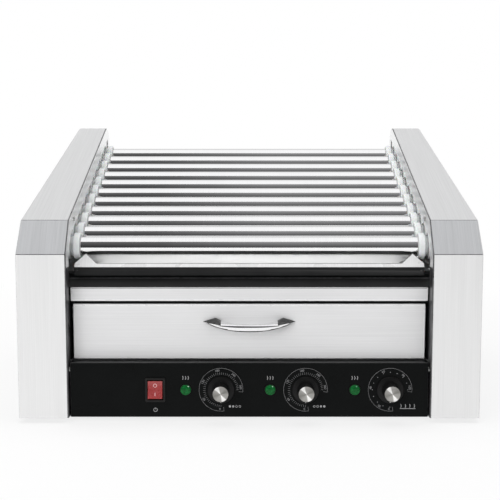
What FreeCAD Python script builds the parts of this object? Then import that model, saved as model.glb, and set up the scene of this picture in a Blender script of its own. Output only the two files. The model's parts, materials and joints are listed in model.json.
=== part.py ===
import FreeCAD
import Part
import math
import os

# Rollers and their end rings
roller_count = 11
roller_length = 435.2
roller_diameter = 25.4
roller_wall = 1.6
roller_slope = 17.5
ring_lip = 4.3
ring_spacing = 1.4
ring_thickness = 8.2
ring_hub_length = 2.0
ring_hub_lip = 2.0
ring_chamfer = 1.0
journal_diameter = 16.0
journal_bore = 12.0
bush_wall = 3.0
spigot_proud = 1.6
journal_tail = 2.0
running_clearance = 0.08
shoulder_clearance = 0.3
heater_diameter = 8.0
heater_stop = 12.0

# Sheet metal
cover_sheet = 1.0
plate_sheet = 1.5
panel_sheet = 1.2
tray_sheet = 1.0
slide_clearance = 0.4
fit_clearance = 0.1
seam = 0.3
bend_radius = 2.5

# Side housings
housing_width = 62.9
side_toe_in = 21.0
cover_flange = 20.0
plate_edge_gap = 3.0
upper_bend_depth = 29.8
chamfer_drop = 40.2
cap_height = 28.2
rear_corner_radius = 27.4
rear_clearance = 6.7
rear_recess = 24.0

# Front, from the face of the pillars backwards
panel_recess = 6.0
bay_recess = 22.0
tray_setback = 16.0
first_roller_setback = 25.7

# Front, from the table upwards
foot_height = 6.0
foot_diameter = 28.0
foot_taper = 2.0
foot_inset = 34.0
foot_setback = 52.0
panel_height = 70.0
drawer_gap = 1.2
drawer_face_height = 70.5
header_gap = 3.8
header_height = 18.0
apron_rise = 9.0
apron_run = 20.0
skirt_gap = 3.5
skirt_height = 10.7
lip_height = 4.5
lip_lean = 4.0
floor_step = 3.8
tray_wall = 3.0
wall_clearance = 2.0
tray_margin = 5.0
tray_end_gap = 8.0
ear_base = 28.0
ear_peak_out = 13.5
ear_height = 11.3

# Returns, flanges and bay
panel_return = 14.0
face_return = 12.0
face_margin = 5.0
header_margin = 2.0
panel_margin = 1.5
header_return = 14.0
pan_flange = 14.0
ceiling_setback = 3.0
slot_count = 12
slot_width = 4.0
slot_pitch = 14.0
slot_height = 46.0
slot_lift = 150.0

# Drawer
drawer_box_margin = 24.0
drawer_box_lift = 16.0
drawer_box_drop = 6.0
drawer_box_length = 350.0
runner_ledge = 14.0
runner_inset = 3.0
runner_leg = 14.0
runner_setback = 18.0
handle_length = 117.0
handle_reach = 28.0
handle_height = 11.0
handle_bar = 7.5
handle_opening = 73.0
handle_below_top = 22.5
handle_droop = 8.5
handle_root = 3.0

# Warming element
element_diameter = 8.0
element_span = 300.0
element_front = 60.0
element_bend = 45.0

# Control panel fittings
control_lift = 35.0
dial_count = 3
dial_pitch = 106.6
last_dial_inset = 50.6
lamp_offset = 44.5
switch_offset = 82.8
knob_diameter = 22.0
knob_front_diameter = 20.8
knob_length = 22.5
knob_skirt_diameter = 35.0
knob_skirt = 2.0
knob_skirt_taper = 1.0
knob_stand_off = 1.0
cap_diameter = 19.6
cap_thickness = 1.0
cap_seat = 0.6
spindle_diameter = 6.0
spindle_length = 14.0
spindle_hole_clearance = 1.0
thermostat_width = 38.0
thermostat_height = 34.0
thermostat_depth = 26.0
lamp_diameter = 14.0
lamp_rise = 4.0
lamp_rim = 1.2
lamp_barrel = 10.0
lamp_tail = 24.0
bezel_width = 25.5
bezel_height = 31.0
bezel_rise = 2.2
bezel_round = 2.0
switch_wall = 1.2
rocker_width = 18.2
rocker_height = 22.0
rocker_dish = 10.0
rocker_front = 3.4
rocker_back = 4.5
rocker_side_clearance = 0.5
rocker_swing_clearance = 1.6
switch_depth = 22.0

# Drive
spigot_gap = 0.8
sprocket_hub_length = 3.0
sprocket_width = 3.0
sprocket_teeth = 10
sprocket_tip_radius = 14.5
sprocket_root_radius = 11.4
sprocket_hub_radius = 10.0
tooth_tip_share = 0.24
tooth_root_share = 0.62
chain_pitch = 9.525
chain_clearance = 0.4
chain_pin_radius = 1.7
chain_plate_height = 6.4
chain_plate_sheet = 0.9
chain_side_gap = 0.5
motor_ahead = 62.0
motor_lift = 34.0
motor_can_radius = 27.0
motor_can_length = 38.0
gearbox_half = 29.0
gearbox_length = 24.0
motor_shaft_radius = 4.0
motor_boss_radius = 8.0
motor_hole_clearance = 1.5
bracket_gap = 14.0
bracket_sheet = 1.5
bracket_width = 24.0
bracket_end = 14.0
bracket_post_radius = 4.0
bracket_posts = (2, 5, 8)

# Cord entry and screws
gland_inset = 78.1
gland_lift = 36.0
gland_body_radius = 8.0
gland_flange_radius = 12.0
gland_flange = 5.0
gland_length = 14.0
gland_tail = 10.0
gland_bore_radius = 4.2
screw_head_radius = 3.4
screw_head_height = 1.7
screw_shank_radius = 1.6
screw_reach = 5.0
screw_drop = 11.0
screw_edge = 12.0
screw_low_lift = 60.0
screw_high_lift = 190.0
base_screw_pitch = 140.0
base_screw_setback = 14.0
overrun = 5.0

# Sizes that follow from those above
slope = math.radians(roller_slope)
slope_cos = math.cos(slope)
slope_sin = math.sin(slope)
slope_tan = math.tan(slope)
roller_radius = roller_diameter / 2
ring_radius = roller_radius + ring_lip
roller_pitch = 2 * ring_radius + ring_spacing
journal_radius = journal_diameter / 2
bush_bore_radius = journal_radius + running_clearance
spigot_radius = bush_bore_radius + bush_wall
hub_radius = spigot_radius + ring_hub_lip
heater_radius = heater_diameter / 2

roller_end = roller_length / 2
ring_face = roller_end + shoulder_clearance
ring_back = ring_face + ring_thickness
plate_inner = ring_back + ring_hub_length
plate_outer = plate_inner + plate_sheet
flange_inner = plate_inner - cover_sheet
half_width = flange_inner + housing_width
spigot_end = plate_outer + spigot_proud
sprocket_start = spigot_end + spigot_gap
tooth_start = sprocket_start + sprocket_hub_length
tooth_end = tooth_start + sprocket_width
drive_journal_end = tooth_end + journal_tail
free_journal_end = spigot_end + journal_tail

tray_depth = bay_recess + tray_setback
first_roller_depth = tray_depth + first_roller_setback
row_length = (roller_count - 1) * roller_pitch
last_roller_depth = first_roller_depth + row_length * slope_cos
body_depth = last_roller_depth + ring_radius + rear_clearance
back_depth = body_depth - rear_recess
knob_front = panel_recess - knob_stand_off - knob_length - cap_thickness + cap_seat
depth_centre = (body_depth + knob_front) / 2

panel_top = foot_height + panel_height
drawer_bottom = panel_top + drawer_gap
drawer_top = drawer_bottom + drawer_face_height
header_bottom = drawer_top + header_gap
header_top = header_bottom + header_height
apron_top = header_top + apron_rise
skirt_bottom = apron_top + skirt_gap
skirt_top = skirt_bottom + skirt_height
lip_top = skirt_top + lip_height
floor_front = skirt_bottom + floor_step
roller_drop = ring_radius + tray_wall + wall_clearance
first_roller_z = floor_front + first_roller_setback * slope_tan + roller_drop / slope_cos
last_roller_z = first_roller_z + row_length * slope_sin
cap_rise = ring_radius + cap_height
base_top = foot_height + panel_sheet
panel_back = panel_recess + panel_sheet
bay_back = bay_recess + panel_sheet
shelf_bottom = panel_top - panel_sheet
ceiling_bottom = header_bottom + panel_sheet
ceiling_top = ceiling_bottom + panel_sheet
back_top = last_roller_z - ring_radius - tray_margin
box_bottom = drawer_bottom + drawer_box_lift
box_top = drawer_top - drawer_box_drop
box_half = plate_inner - drawer_box_margin
face_half = plate_inner - face_margin
tray_half = roller_end + wall_clearance
skirt_half = plate_inner - tray_margin
control_z = foot_height + control_lift
last_dial_x = plate_inner - last_dial_inset
dial_xs = [last_dial_x - left * dial_pitch for left in reversed(range(dial_count))]
lamp_xs = [dial_x - lamp_offset for dial_x in dial_xs]
switch_x = dial_xs[0] - switch_offset
thermostat_bore = spindle_diameter / 2 + running_clearance
chain_radius = sprocket_tip_radius + chain_clearance + chain_pin_radius
motor_depth = last_roller_depth - motor_ahead
motor_z = ceiling_top + gearbox_half + motor_lift
gland_x = gland_inset - plate_inner


def vec(x, y, z):
    return FreeCAD.Vector(x, y, z)


def at(depth):
    return depth - depth_centre


def block(x0, x1, depth0, depth1, z0, z1):
    return Part.makeBox(x1 - x0, depth1 - depth0, z1 - z0, vec(x0, at(depth0), z0))


def rod_x(depth, z, radius, x0, x1):
    return Part.makeCylinder(radius, x1 - x0, vec(x0, at(depth), z), vec(1, 0, 0))


def rod_y(x, z, radius, depth0, depth1):
    return Part.makeCylinder(radius, depth1 - depth0, vec(x, at(depth0), z), vec(0, 1, 0))


def rod_z(x, depth, radius, z0, z1):
    return Part.makeCylinder(radius, z1 - z0, vec(x, at(depth), z0), vec(0, 0, 1))


def mirrored(shape):
    return shape.mirror(vec(0, 0, 0), vec(1, 0, 0))


def joined(shapes):
    return shapes[0].multiFuse(shapes[1:]).removeSplitter()


# A closed outline with each corner rounded by its radius, or an open one
def outline(points, radii, closed=True):
    starts = []
    ends = []
    arcs = []
    count = len(points)
    for number, corner in enumerate(points):
        radius = radii[number]
        if radius == 0:
            starts.append(corner)
            ends.append(corner)
            arcs.append(None)
            continue
        before = points[number - 1].sub(corner).normalize()
        after = points[(number + 1) % count].sub(corner).normalize()
        half = before.getAngle(after) / 2
        reach = radius / math.tan(half)
        middle = before.add(after).normalize()
        far = radius / math.sin(half) - radius
        start = corner.add(before * reach)
        end = corner.add(after * reach)
        starts.append(start)
        ends.append(end)
        arcs.append(Part.Arc(start, corner.add(middle * far), end).toShape())
    edges = []
    for number in range(count):
        if arcs[number]:
            edges.append(arcs[number])
        if number + 1 < count or closed:
            edges.append(Part.makeLine(ends[number], starts[(number + 1) % count]))
    return Part.Wire(edges)


def plain(points):
    return [0 for point in points]


# Solids drawn from the side, from above and from the front
def side_solid(points, x0, x1, radii=None):
    corners = [vec(x0, at(depth), z) for depth, z in points]
    face = Part.Face(outline(corners, radii or plain(points)))
    return face.extrude(vec(x1 - x0, 0, 0))


def plan_solid(points, z0, z1, radii=None):
    corners = [vec(x, at(depth), z0) for x, depth in points]
    face = Part.Face(outline(corners, radii or plain(points)))
    return face.extrude(vec(0, 0, z1 - z0))


def front_solid(points, depth0, depth1, radii=None):
    corners = [vec(x, at(depth0), z) for x, z in points]
    face = Part.Face(outline(corners, radii or plain(points)))
    return face.extrude(vec(0, depth1 - depth0, 0))


# A point on the slope of the rollers, by the way along it and the height over the axes
def on_slope(along, over):
    depth = first_roller_depth + along * slope_cos - over * slope_sin
    z = first_roller_z + along * slope_sin + over * slope_cos
    return depth, z


def over_depth(depth, over):
    along = (depth - first_roller_depth + over * slope_sin) / slope_cos
    return on_slope(along, over)


def roller_place(number):
    return on_slope(number * roller_pitch, 0)


def crossing(line_a, line_b):
    (ax, ay), (adx, ady) = line_a
    (bx, by), (bdx, bdy) = line_b
    cross = adx * bdy - ady * bdx
    part = ((bx - ax) * bdy - (by - ay) * bdx) / cross
    return ax + part * adx, ay + part * ady


# The side outline of a housing, drawn in by a gap, down to the given height
def housing_outline(gap, bottom):
    upper = over_depth(upper_bend_depth, cap_rise)
    lower_z = upper[1] - chamfer_drop
    run = math.hypot(upper_bend_depth, chamfer_drop)
    chamfer_along = (upper_bend_depth / run, chamfer_drop / run)
    chamfer_start = (gap * chamfer_along[1], lower_z - gap * chamfer_along[0])
    front = ((gap, bottom), (0, 1))
    chamfer = (chamfer_start, chamfer_along)
    top = (over_depth(upper_bend_depth, cap_rise - gap), (slope_cos, slope_sin))
    rear = ((body_depth - gap, bottom), (0, 1))
    points = [
        (gap, bottom),
        crossing(front, chamfer),
        crossing(chamfer, top),
        crossing(top, rear),
        (body_depth - gap, bottom),
    ]
    small = max(bend_radius - gap, seam)
    radii = [0, small, small, max(rear_corner_radius - gap, bend_radius), 0]
    return points, radii


def housing_prism(gap, bottom, x0, x1):
    points, radii = housing_outline(gap, bottom)
    return side_solid(points, x0, x1, radii)


# A wedge seen from above whose outer wall leans in towards the rear
def toed_wedge(inner, gap, z0, z1):
    front_x = half_width - gap
    rear_x = half_width - side_toe_in - gap
    points = [(inner, 0), (front_x, 0), (rear_x, body_depth), (inner, body_depth)]
    return plan_solid(points, z0, z1)


def screw_places():
    top_depth = first_roller_depth
    return [
        over_depth(top_depth, cap_rise - screw_drop),
        (screw_edge, foot_height + screw_low_lift),
        (body_depth - screw_edge, foot_height + screw_low_lift),
        (body_depth - screw_edge, foot_height + screw_high_lift),
    ]


def side_cover():
    top = last_roller_z + cap_rise + rear_corner_radius
    skin = housing_prism(0, foot_height, flange_inner, half_width)
    skin = skin.common(toed_wedge(flange_inner, 0, foot_height, top))
    low = foot_height - overrun
    cavity = housing_prism(cover_sheet, low, plate_inner, half_width)
    cavity = cavity.common(toed_wedge(plate_inner, cover_sheet, low, top))
    window = housing_prism(cover_flange, low, flange_inner - overrun, plate_inner + overrun)
    relief = block(
        flange_inner - overrun, plate_inner + overrun, cover_sheet, body_depth - cover_sheet, low,
        base_top + seam
    )
    shell = skin.cut(cavity).cut(window).cut(relief)
    last_depth, last_z = roller_place(roller_count - 1)
    notch = rod_x(
        last_depth, last_z, hub_radius + wall_clearance, flange_inner - overrun, plate_inner + overrun
    )
    shell = shell.cut(notch)
    for depth, z in screw_places():
        hole = screw_shank_radius + fit_clearance
        shell = shell.cut(rod_x(depth, z, hole, flange_inner - overrun, plate_inner + overrun))
    return shell


def side_plate(drive):
    plate = housing_prism(plate_edge_gap, base_top, plate_inner, plate_outer)
    before = plate_inner - overrun
    after = plate_outer + overrun
    for number in range(roller_count):
        depth, z = roller_place(number)
        plate = plate.cut(rod_x(depth, z, spigot_radius + fit_clearance, before, after))
    for depth, z in screw_places():
        plate = plate.cut(rod_x(depth, z, screw_shank_radius + fit_clearance, before, after))
    if drive:
        hole = motor_boss_radius + motor_hole_clearance
        plate = plate.cut(rod_x(motor_depth, motor_z, hole, before, after))
    return plate


def base_pan():
    right = toed_wedge(0, cover_sheet + seam, foot_height, base_top)
    pan = joined([right, mirrored(right)])
    room = block(-half_width, half_width, panel_back, body_depth - cover_sheet - seam, 0, base_top)
    pan = pan.common(room)
    flange_half = flange_inner - panel_margin
    front = block(
        -flange_half, flange_half, panel_back, panel_back + panel_sheet, foot_height,
        foot_height + pan_flange
    )
    rear = block(
        -flange_half, flange_half, back_depth - panel_sheet, back_depth, foot_height,
        foot_height + pan_flange
    )
    return joined([pan, front, rear])


def rubber_feet():
    feet = []
    for x in (-half_width + foot_inset, half_width - foot_inset):
        for depth in (foot_setback, body_depth - foot_setback - side_toe_in):
            radius = foot_diameter / 2
            place = vec(x, at(depth), 0)
            feet.append(Part.makeCone(radius - foot_taper, radius, foot_height, place))
    return Part.makeCompound(feet)


def back_panel():
    panel = block(
        -plate_inner, plate_inner, back_depth, back_depth + panel_sheet, base_top, back_top
    )
    first = -(slot_count - 1) * slot_pitch / 2
    for number in range(slot_count):
        x = first + number * slot_pitch
        slot = block(
            x - slot_width / 2, x + slot_width / 2, back_depth - overrun, back_depth + overrun,
            foot_height + slot_lift, foot_height + slot_lift + slot_height
        )
        panel = panel.cut(slot)
    hole = gland_body_radius + fit_clearance
    gland_z = foot_height + gland_lift
    return panel.cut(rod_y(gland_x, gland_z, hole, back_depth - overrun, back_depth + overrun))


def cord_gland():
    z = foot_height + gland_lift
    rear = back_depth + panel_sheet
    flange = rod_y(gland_x, z, gland_flange_radius, rear, rear + gland_flange)
    nose = rod_y(gland_x, z, gland_body_radius, back_depth - gland_tail, rear + gland_length)
    nut = rod_y(gland_x, z, gland_flange_radius, back_depth - gland_flange, back_depth)
    whole = joined([flange, nose, nut])
    bore = rod_y(gland_x, z, gland_bore_radius, back_depth - gland_tail - overrun, body_depth)
    return whole.cut(bore)


def seal_rings():
    rings = []
    for number in range(roller_count):
        depth, z = roller_place(number)
        rim = rod_x(depth, z, ring_radius, ring_face, ring_back)
        rim = rim.makeChamfer(ring_chamfer, rim.Edges)
        hub = rod_x(depth, z, hub_radius, ring_face + ring_chamfer, plate_inner)
        spigot = rod_x(depth, z, spigot_radius, ring_face + ring_chamfer, spigot_end)
        ring = joined([rim, hub, spigot])
        bore = rod_x(depth, z, bush_bore_radius, ring_face - overrun, spigot_end + overrun)
        rings.append(ring.cut(bore))
    return Part.makeCompound(rings)


def roller(number):
    depth, z = roller_place(number)
    tube = rod_x(depth, z, roller_radius, -roller_end, roller_end)
    journal = rod_x(depth, z, journal_radius, -free_journal_end, drive_journal_end)
    inside = rod_x(
        depth, z, roller_radius - roller_wall, -roller_end + roller_wall, roller_end - roller_wall
    )
    bore = rod_x(
        depth, z, journal_bore / 2, -free_journal_end - overrun, drive_journal_end + overrun
    )
    return joined([tube, journal]).cut(inside).cut(bore)


def sprocket_disc(depth, z, phase):
    points = []
    tooth = 2 * math.pi / sprocket_teeth
    for number in range(sprocket_teeth):
        centre = phase + number * tooth
        tip = tooth * tooth_tip_share / 2
        root = tooth * tooth_root_share / 2
        steps = (
            (centre - root, sprocket_root_radius),
            (centre - tip, sprocket_tip_radius),
            (centre + tip, sprocket_tip_radius),
            (centre + root, sprocket_root_radius),
        )
        for angle, radius in steps:
            points.append((depth + radius * math.cos(angle), z + radius * math.sin(angle)))
    return side_solid(points, tooth_start, tooth_end)


def sprocket(number):
    depth, z = roller_place(number)
    disc = sprocket_disc(depth, z, slope)
    hub = rod_x(depth, z, sprocket_hub_radius, sprocket_start, tooth_end)
    bore = rod_x(depth, z, journal_radius, sprocket_start - overrun, tooth_end + overrun)
    return joined([disc, hub]).cut(bore)


def motor_sprocket():
    disc = sprocket_disc(motor_depth, motor_z, 0)
    hub = rod_x(motor_depth, motor_z, sprocket_hub_radius, sprocket_start, tooth_end)
    shaft_start = plate_inner - gearbox_length / 2
    shaft = rod_x(motor_depth, motor_z, motor_shaft_radius, shaft_start, drive_journal_end)
    return joined([disc, hub, shaft])


def gear_motor():
    start = plate_inner - gearbox_length
    box = block(
        start, plate_inner, motor_depth - gearbox_half, motor_depth + gearbox_half,
        motor_z - gearbox_half, motor_z + gearbox_half
    )
    box = box.makeFillet(bend_radius, [edge for edge in box.Edges if edge.Length < gearbox_half])
    can = rod_x(motor_depth, motor_z, motor_can_radius, start - motor_can_length, start)
    boss = rod_x(motor_depth, motor_z, motor_boss_radius, start, spigot_end - fit_clearance)
    whole = joined([box, can, boss])
    bore_start = plate_inner - gearbox_length / 2 - slide_clearance
    bore_radius = motor_shaft_radius + running_clearance
    return whole.cut(rod_x(motor_depth, motor_z, bore_radius, bore_start, spigot_end + overrun))


# The closed line round three equal circles, seen from the side
def loop_face(centres, radius, x):
    tangents = []
    count = len(centres)
    for number in range(count):
        start = centres[number]
        end = centres[(number + 1) % count]
        run = math.hypot(end[0] - start[0], end[1] - start[1])
        out = ((start[1] - end[1]) / run * radius, (end[0] - start[0]) / run * radius)
        tangents.append((
            (start[0] + out[0], start[1] + out[1]),
            (end[0] + out[0], end[1] + out[1]),
        ))
    edges = []
    for number in range(count):
        first, last = tangents[number]
        centre = centres[(number + 1) % count]
        following = tangents[(number + 1) % count][0]
        lean_depth = last[0] + following[0] - 2 * centre[0]
        lean_z = last[1] + following[1] - 2 * centre[1]
        lean = math.hypot(lean_depth, lean_z)
        middle = (centre[0] + lean_depth / lean * radius, centre[1] + lean_z / lean * radius)
        spots = [vec(x, at(depth), z) for depth, z in (first, last, middle, following)]
        edges.append(Part.makeLine(spots[0], spots[1]))
        edges.append(Part.Arc(spots[1], spots[2], spots[3]).toShape())
    return Part.Wire(edges)


def drive_chain():
    centres = [roller_place(0), roller_place(roller_count - 1), (motor_depth, motor_z)]
    half = chain_plate_height / 2
    width = sprocket_width + 2 * chain_side_gap
    first_x = tooth_start - chain_side_gap - chain_plate_sheet
    last_x = first_x + chain_plate_sheet + width
    bodies = []
    for x in (first_x, last_x):
        outer = Part.Face(loop_face(centres, chain_radius + half, x))
        inner = Part.Face(loop_face(centres, chain_radius - half, x))
        bodies.append(outer.cut(inner).extrude(vec(chain_plate_sheet, 0, 0)))
    line = loop_face(centres, chain_radius, first_x)
    links = round(line.Length / chain_pitch)
    for spot in line.discretize(links + 1)[:-1]:
        pin = Part.makeCylinder(
            chain_pin_radius, width + 2 * chain_plate_sheet, spot, vec(1, 0, 0)
        )
        bodies.append(pin)
    return joined(bodies)


def heater_rods():
    rods = []
    for number in range(roller_count):
        depth, z = roller_place(number)
        start = -plate_outer - bracket_gap - bracket_sheet - bracket_end
        rods.append(rod_x(depth, z, heater_radius, start, roller_end - heater_stop))
    return Part.makeCompound(rods)


def heater_bracket():
    low = -bracket_width / 2
    high = bracket_width / 2
    start = -bracket_end
    end = row_length + bracket_end
    corners = [on_slope(start, low), on_slope(end, low), on_slope(end, high), on_slope(start, high)]
    inner = -plate_outer - bracket_gap
    bodies = [side_solid(corners, inner - bracket_sheet, inner)]
    for number in bracket_posts:
        depth, z = on_slope((number + 1 / 2) * roller_pitch, 0)
        bodies.append(rod_x(depth, z, bracket_post_radius, inner, -plate_outer))
    bracket = joined(bodies)
    for number in range(roller_count):
        depth, z = roller_place(number)
        bracket = bracket.cut(rod_x(depth, z, heater_radius, inner - overrun, inner + overrun))
    return bracket


def tray_deck():
    top = -roller_drop - tray_sheet - slide_clearance
    start = (tray_depth + tray_sheet - first_roller_depth) / slope_cos + tray_sheet
    under = top - tray_sheet
    end = (back_depth - first_roller_depth + under * slope_sin) / slope_cos
    corners = [on_slope(start, top), on_slope(end, top), on_slope(end, under), on_slope(start, under)]
    return side_solid(corners, -plate_inner, plate_inner)


def front_apron():
    start = (bay_recess, header_top)
    fold = (bay_recess + apron_run, apron_top)
    run = math.hypot(apron_run, apron_rise)
    drop = panel_sheet * run / apron_run
    under = -roller_drop - 2 * tray_sheet - slide_clearance
    rise = over_depth(fold[0], under)[1]
    back = fold[0] + panel_sheet
    rise_back = over_depth(back, under)[1]
    corners = [
        start, fold, (fold[0], rise), (back, rise_back),
        (back, apron_top - drop), (start[0] + drop * apron_run / apron_rise, header_top)
    ]
    return side_solid(corners, -plate_inner, plate_inner)


def header_rail():
    half = plate_inner - header_margin
    face = block(-half, half, bay_recess, bay_back, header_bottom, header_top)
    lower = block(
        -plate_inner, plate_inner, bay_back, bay_back + header_return, header_bottom,
        ceiling_bottom
    )
    upper = block(
        -half, half, bay_back, bay_back + header_return / 2, header_top - panel_sheet, header_top
    )
    return joined([face, lower, upper])


def bay_ceiling():
    return block(
        -plate_inner, plate_inner, bay_back + ceiling_setback, back_depth, ceiling_bottom,
        ceiling_top
    )


def bay_shelf():
    return block(-plate_inner, plate_inner, bay_recess, back_depth, shelf_bottom, panel_top)


def warming_element():
    radius = element_diameter / 2
    z = panel_top + radius + seam
    half = element_span / 2
    front = bay_recess + element_front
    corners = [
        vec(-half, at(back_depth), z), vec(-half, at(front), z),
        vec(half, at(front), z), vec(half, at(back_depth), z)
    ]
    path = outline(corners, [0, element_bend, element_bend, 0], False)
    section = Part.Wire(Part.makeCircle(radius, corners[0], vec(0, 1, 0)))
    return path.makePipeShell([section], True, False)


def drip_tray():
    skirt_points = [
        (tray_depth, skirt_bottom), (tray_depth + tray_sheet, skirt_bottom),
        (tray_depth + tray_sheet, skirt_top), (tray_depth + lip_lean + tray_sheet, lip_top),
        (tray_depth + lip_lean, lip_top), (tray_depth, skirt_top)
    ]
    bodies = [side_solid(skirt_points, -skirt_half, skirt_half)]
    start = (tray_depth + tray_sheet / 2 - first_roller_depth) / slope_cos - roller_drop * slope_tan
    end_depth = back_depth - tray_end_gap
    floor = -roller_drop
    end = (end_depth - first_roller_depth + floor * slope_sin) / slope_cos
    under = floor - tray_sheet
    wall = floor + tray_wall
    slab = [on_slope(start, under), on_slope(end, under), on_slope(end, floor), on_slope(start, floor)]
    bodies.append(side_solid(slab, -tray_half, tray_half))
    side = [on_slope(start, under), on_slope(end, under), on_slope(end, wall), on_slope(start, wall)]
    bodies.append(side_solid(side, -tray_half, -tray_half + tray_sheet))
    bodies.append(side_solid(side, tray_half - tray_sheet, tray_half))
    tail = [
        on_slope(end - tray_sheet, under), on_slope(end, under), on_slope(end, wall),
        on_slope(end - tray_sheet, wall)
    ]
    bodies.append(side_solid(tail, -tray_half, tray_half))
    reach = lip_lean / lip_height * ear_height
    for sign in (-1, 1):
        base = [
            vec(sign * skirt_half, at(tray_depth + lip_lean), lip_top),
            vec(sign * (skirt_half - ear_base), at(tray_depth + lip_lean), lip_top),
            vec(
                sign * (skirt_half - ear_peak_out), at(tray_depth + lip_lean + reach),
                lip_top + ear_height
            ),
        ]
        ear = Part.Face(outline(base, plain(base))).extrude(vec(0, tray_sheet, 0))
        bodies.append(ear)
    return joined(bodies)


def control_panel():
    half = flange_inner - panel_margin
    plate = block(-half, half, panel_recess, panel_back, foot_height, panel_top)
    top = block(
        -half, half, panel_back, bay_recess - seam, panel_top - panel_sheet, panel_top
    )
    panel = joined([plate, top])
    before = panel_recess - overrun
    after = panel_back + overrun
    for dial_x in dial_xs:
        hole = spindle_diameter / 2 + spindle_hole_clearance
        panel = panel.cut(rod_y(dial_x, control_z, hole, before, after))
    for lamp_x in lamp_xs:
        panel = panel.cut(rod_y(lamp_x, control_z, lamp_barrel / 2 + fit_clearance, before, after))
    half_cut = bezel_width / 2 - bezel_round + fit_clearance
    tall_cut = bezel_height / 2 - bezel_round + fit_clearance
    cutout = block(
        switch_x - half_cut, switch_x + half_cut, before, after, control_z - tall_cut,
        control_z + tall_cut
    )
    return panel.cut(cutout)


def switch_frame():
    half = bezel_width / 2
    tall = bezel_height / 2
    bezel = front_solid(
        [
            (switch_x - half, control_z - tall), (switch_x + half, control_z - tall),
            (switch_x + half, control_z + tall), (switch_x - half, control_z + tall)
        ],
        panel_recess - bezel_rise, panel_recess, [bezel_round] * 4
    )
    body = block(
        switch_x - half + bezel_round, switch_x + half - bezel_round, panel_recess,
        panel_recess + switch_depth, control_z - tall + bezel_round, control_z + tall - bezel_round
    )
    well_half = rocker_width / 2 + rocker_side_clearance
    well_tall = rocker_height / 2 + rocker_swing_clearance
    well = block(
        switch_x - well_half, switch_x + well_half, panel_recess - overrun,
        panel_recess + switch_depth - switch_wall, control_z - well_tall, control_z + well_tall
    )
    frame = joined([bezel, body]).cut(well)
    pin = rod_x(
        panel_recess, control_z, switch_wall, switch_x - well_half - switch_wall,
        switch_x + well_half + switch_wall
    )
    return joined([frame, pin])


def switch_rocker():
    half = rocker_height / 2
    dish = half * math.tan(math.radians(rocker_dish))
    points = [
        (panel_recess - rocker_front - dish, control_z + half),
        (panel_recess - rocker_front, control_z),
        (panel_recess - rocker_front - dish, control_z - half),
        (panel_recess, control_z - half),
        (panel_recess + rocker_back, control_z),
        (panel_recess, control_z + half),
    ]
    body = side_solid(points, switch_x - rocker_width / 2, switch_x + rocker_width / 2)
    hole = switch_wall + running_clearance
    body = body.cut(rod_x(panel_recess, control_z, hole, switch_x - half, switch_x + half))
    body.rotate(vec(switch_x, at(panel_recess), control_z), vec(1, 0, 0), -rocker_dish)
    return body


def indicator_lamps():
    lamps = []
    for lamp_x in lamp_xs:
        radius = lamp_diameter / 2
        rim = rod_y(lamp_x, control_z, radius, panel_recess - lamp_rim, panel_recess)
        ball = (radius * radius + lamp_rise * lamp_rise) / (2 * lamp_rise)
        dome = Part.makeSphere(ball, vec(lamp_x, at(panel_recess - lamp_rim - lamp_rise + ball), control_z))
        dome = dome.common(rod_y(
            lamp_x, control_z, radius, panel_recess - lamp_rim - lamp_rise - seam,
            panel_recess - lamp_rim / 2
        ))
        barrel = rod_y(lamp_x, control_z, lamp_barrel / 2, panel_recess - lamp_rim, panel_back + lamp_tail)
        nut = rod_y(lamp_x, control_z, radius, panel_back, panel_back + lamp_rise)
        lamps.append(joined([rim, dome, barrel, nut]))
    return Part.makeCompound(lamps)


def thermostats():
    bodies = []
    for dial_x in dial_xs:
        body = block(
            dial_x - thermostat_width / 2, dial_x + thermostat_width / 2, panel_back,
            panel_back + thermostat_depth, control_z - thermostat_height / 2,
            control_z + thermostat_height / 2
        )
        bore = rod_y(
            dial_x, control_z, thermostat_bore, panel_back - overrun,
            panel_back + spindle_length + slide_clearance
        )
        bodies.append(body.cut(bore))
    return Part.makeCompound(bodies)


def knob(dial_x):
    back = panel_recess - knob_stand_off
    place = vec(dial_x, at(back), control_z)
    forward = vec(0, -1, 0)
    grip = Part.makeCone(knob_diameter / 2, knob_front_diameter / 2, knob_length, place, forward)
    rim = knob_skirt_diameter / 2
    skirt = Part.makeCone(rim, rim - knob_skirt_taper, knob_skirt, place, forward)
    seat = rod_y(
        dial_x, control_z, cap_diameter / 2, back - knob_length - overrun,
        back - knob_length + cap_seat
    )
    spindle = rod_y(
        dial_x, control_z, spindle_diameter / 2, back - knob_stand_off, panel_back + spindle_length
    )
    return joined([grip.cut(seat), skirt, spindle])


def knob_cap(dial_x):
    back = panel_recess - knob_stand_off - knob_length + cap_seat
    return rod_y(dial_x, control_z, cap_diameter / 2, back - cap_thickness, back)


def drawer_front():
    face = block(-face_half, face_half, bay_recess, bay_back, drawer_bottom, drawer_top)
    back = bay_back + face_return
    top = block(-face_half, face_half, bay_back, back, drawer_top - panel_sheet, drawer_top)
    low = block(-face_half, face_half, bay_back, back, drawer_bottom, drawer_bottom + panel_sheet)
    left = block(-face_half, -face_half + panel_sheet, bay_back, back, drawer_bottom, drawer_top)
    right = block(face_half - panel_sheet, face_half, bay_back, back, drawer_bottom, drawer_top)
    return joined([face, top, low, left, right])


def drawer_box():
    end = bay_back + drawer_box_length
    outside = block(-box_half, box_half, bay_back, end, box_bottom, box_top)
    inside = block(
        -box_half + tray_sheet, box_half - tray_sheet, bay_back + tray_sheet, end - tray_sheet,
        box_bottom + tray_sheet, box_top + overrun
    )
    left = block(
        -box_half - runner_ledge, -box_half, bay_back + runner_setback, end, box_top - tray_sheet,
        box_top
    )
    return joined([outside.cut(inside), left, mirrored(left)])


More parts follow.
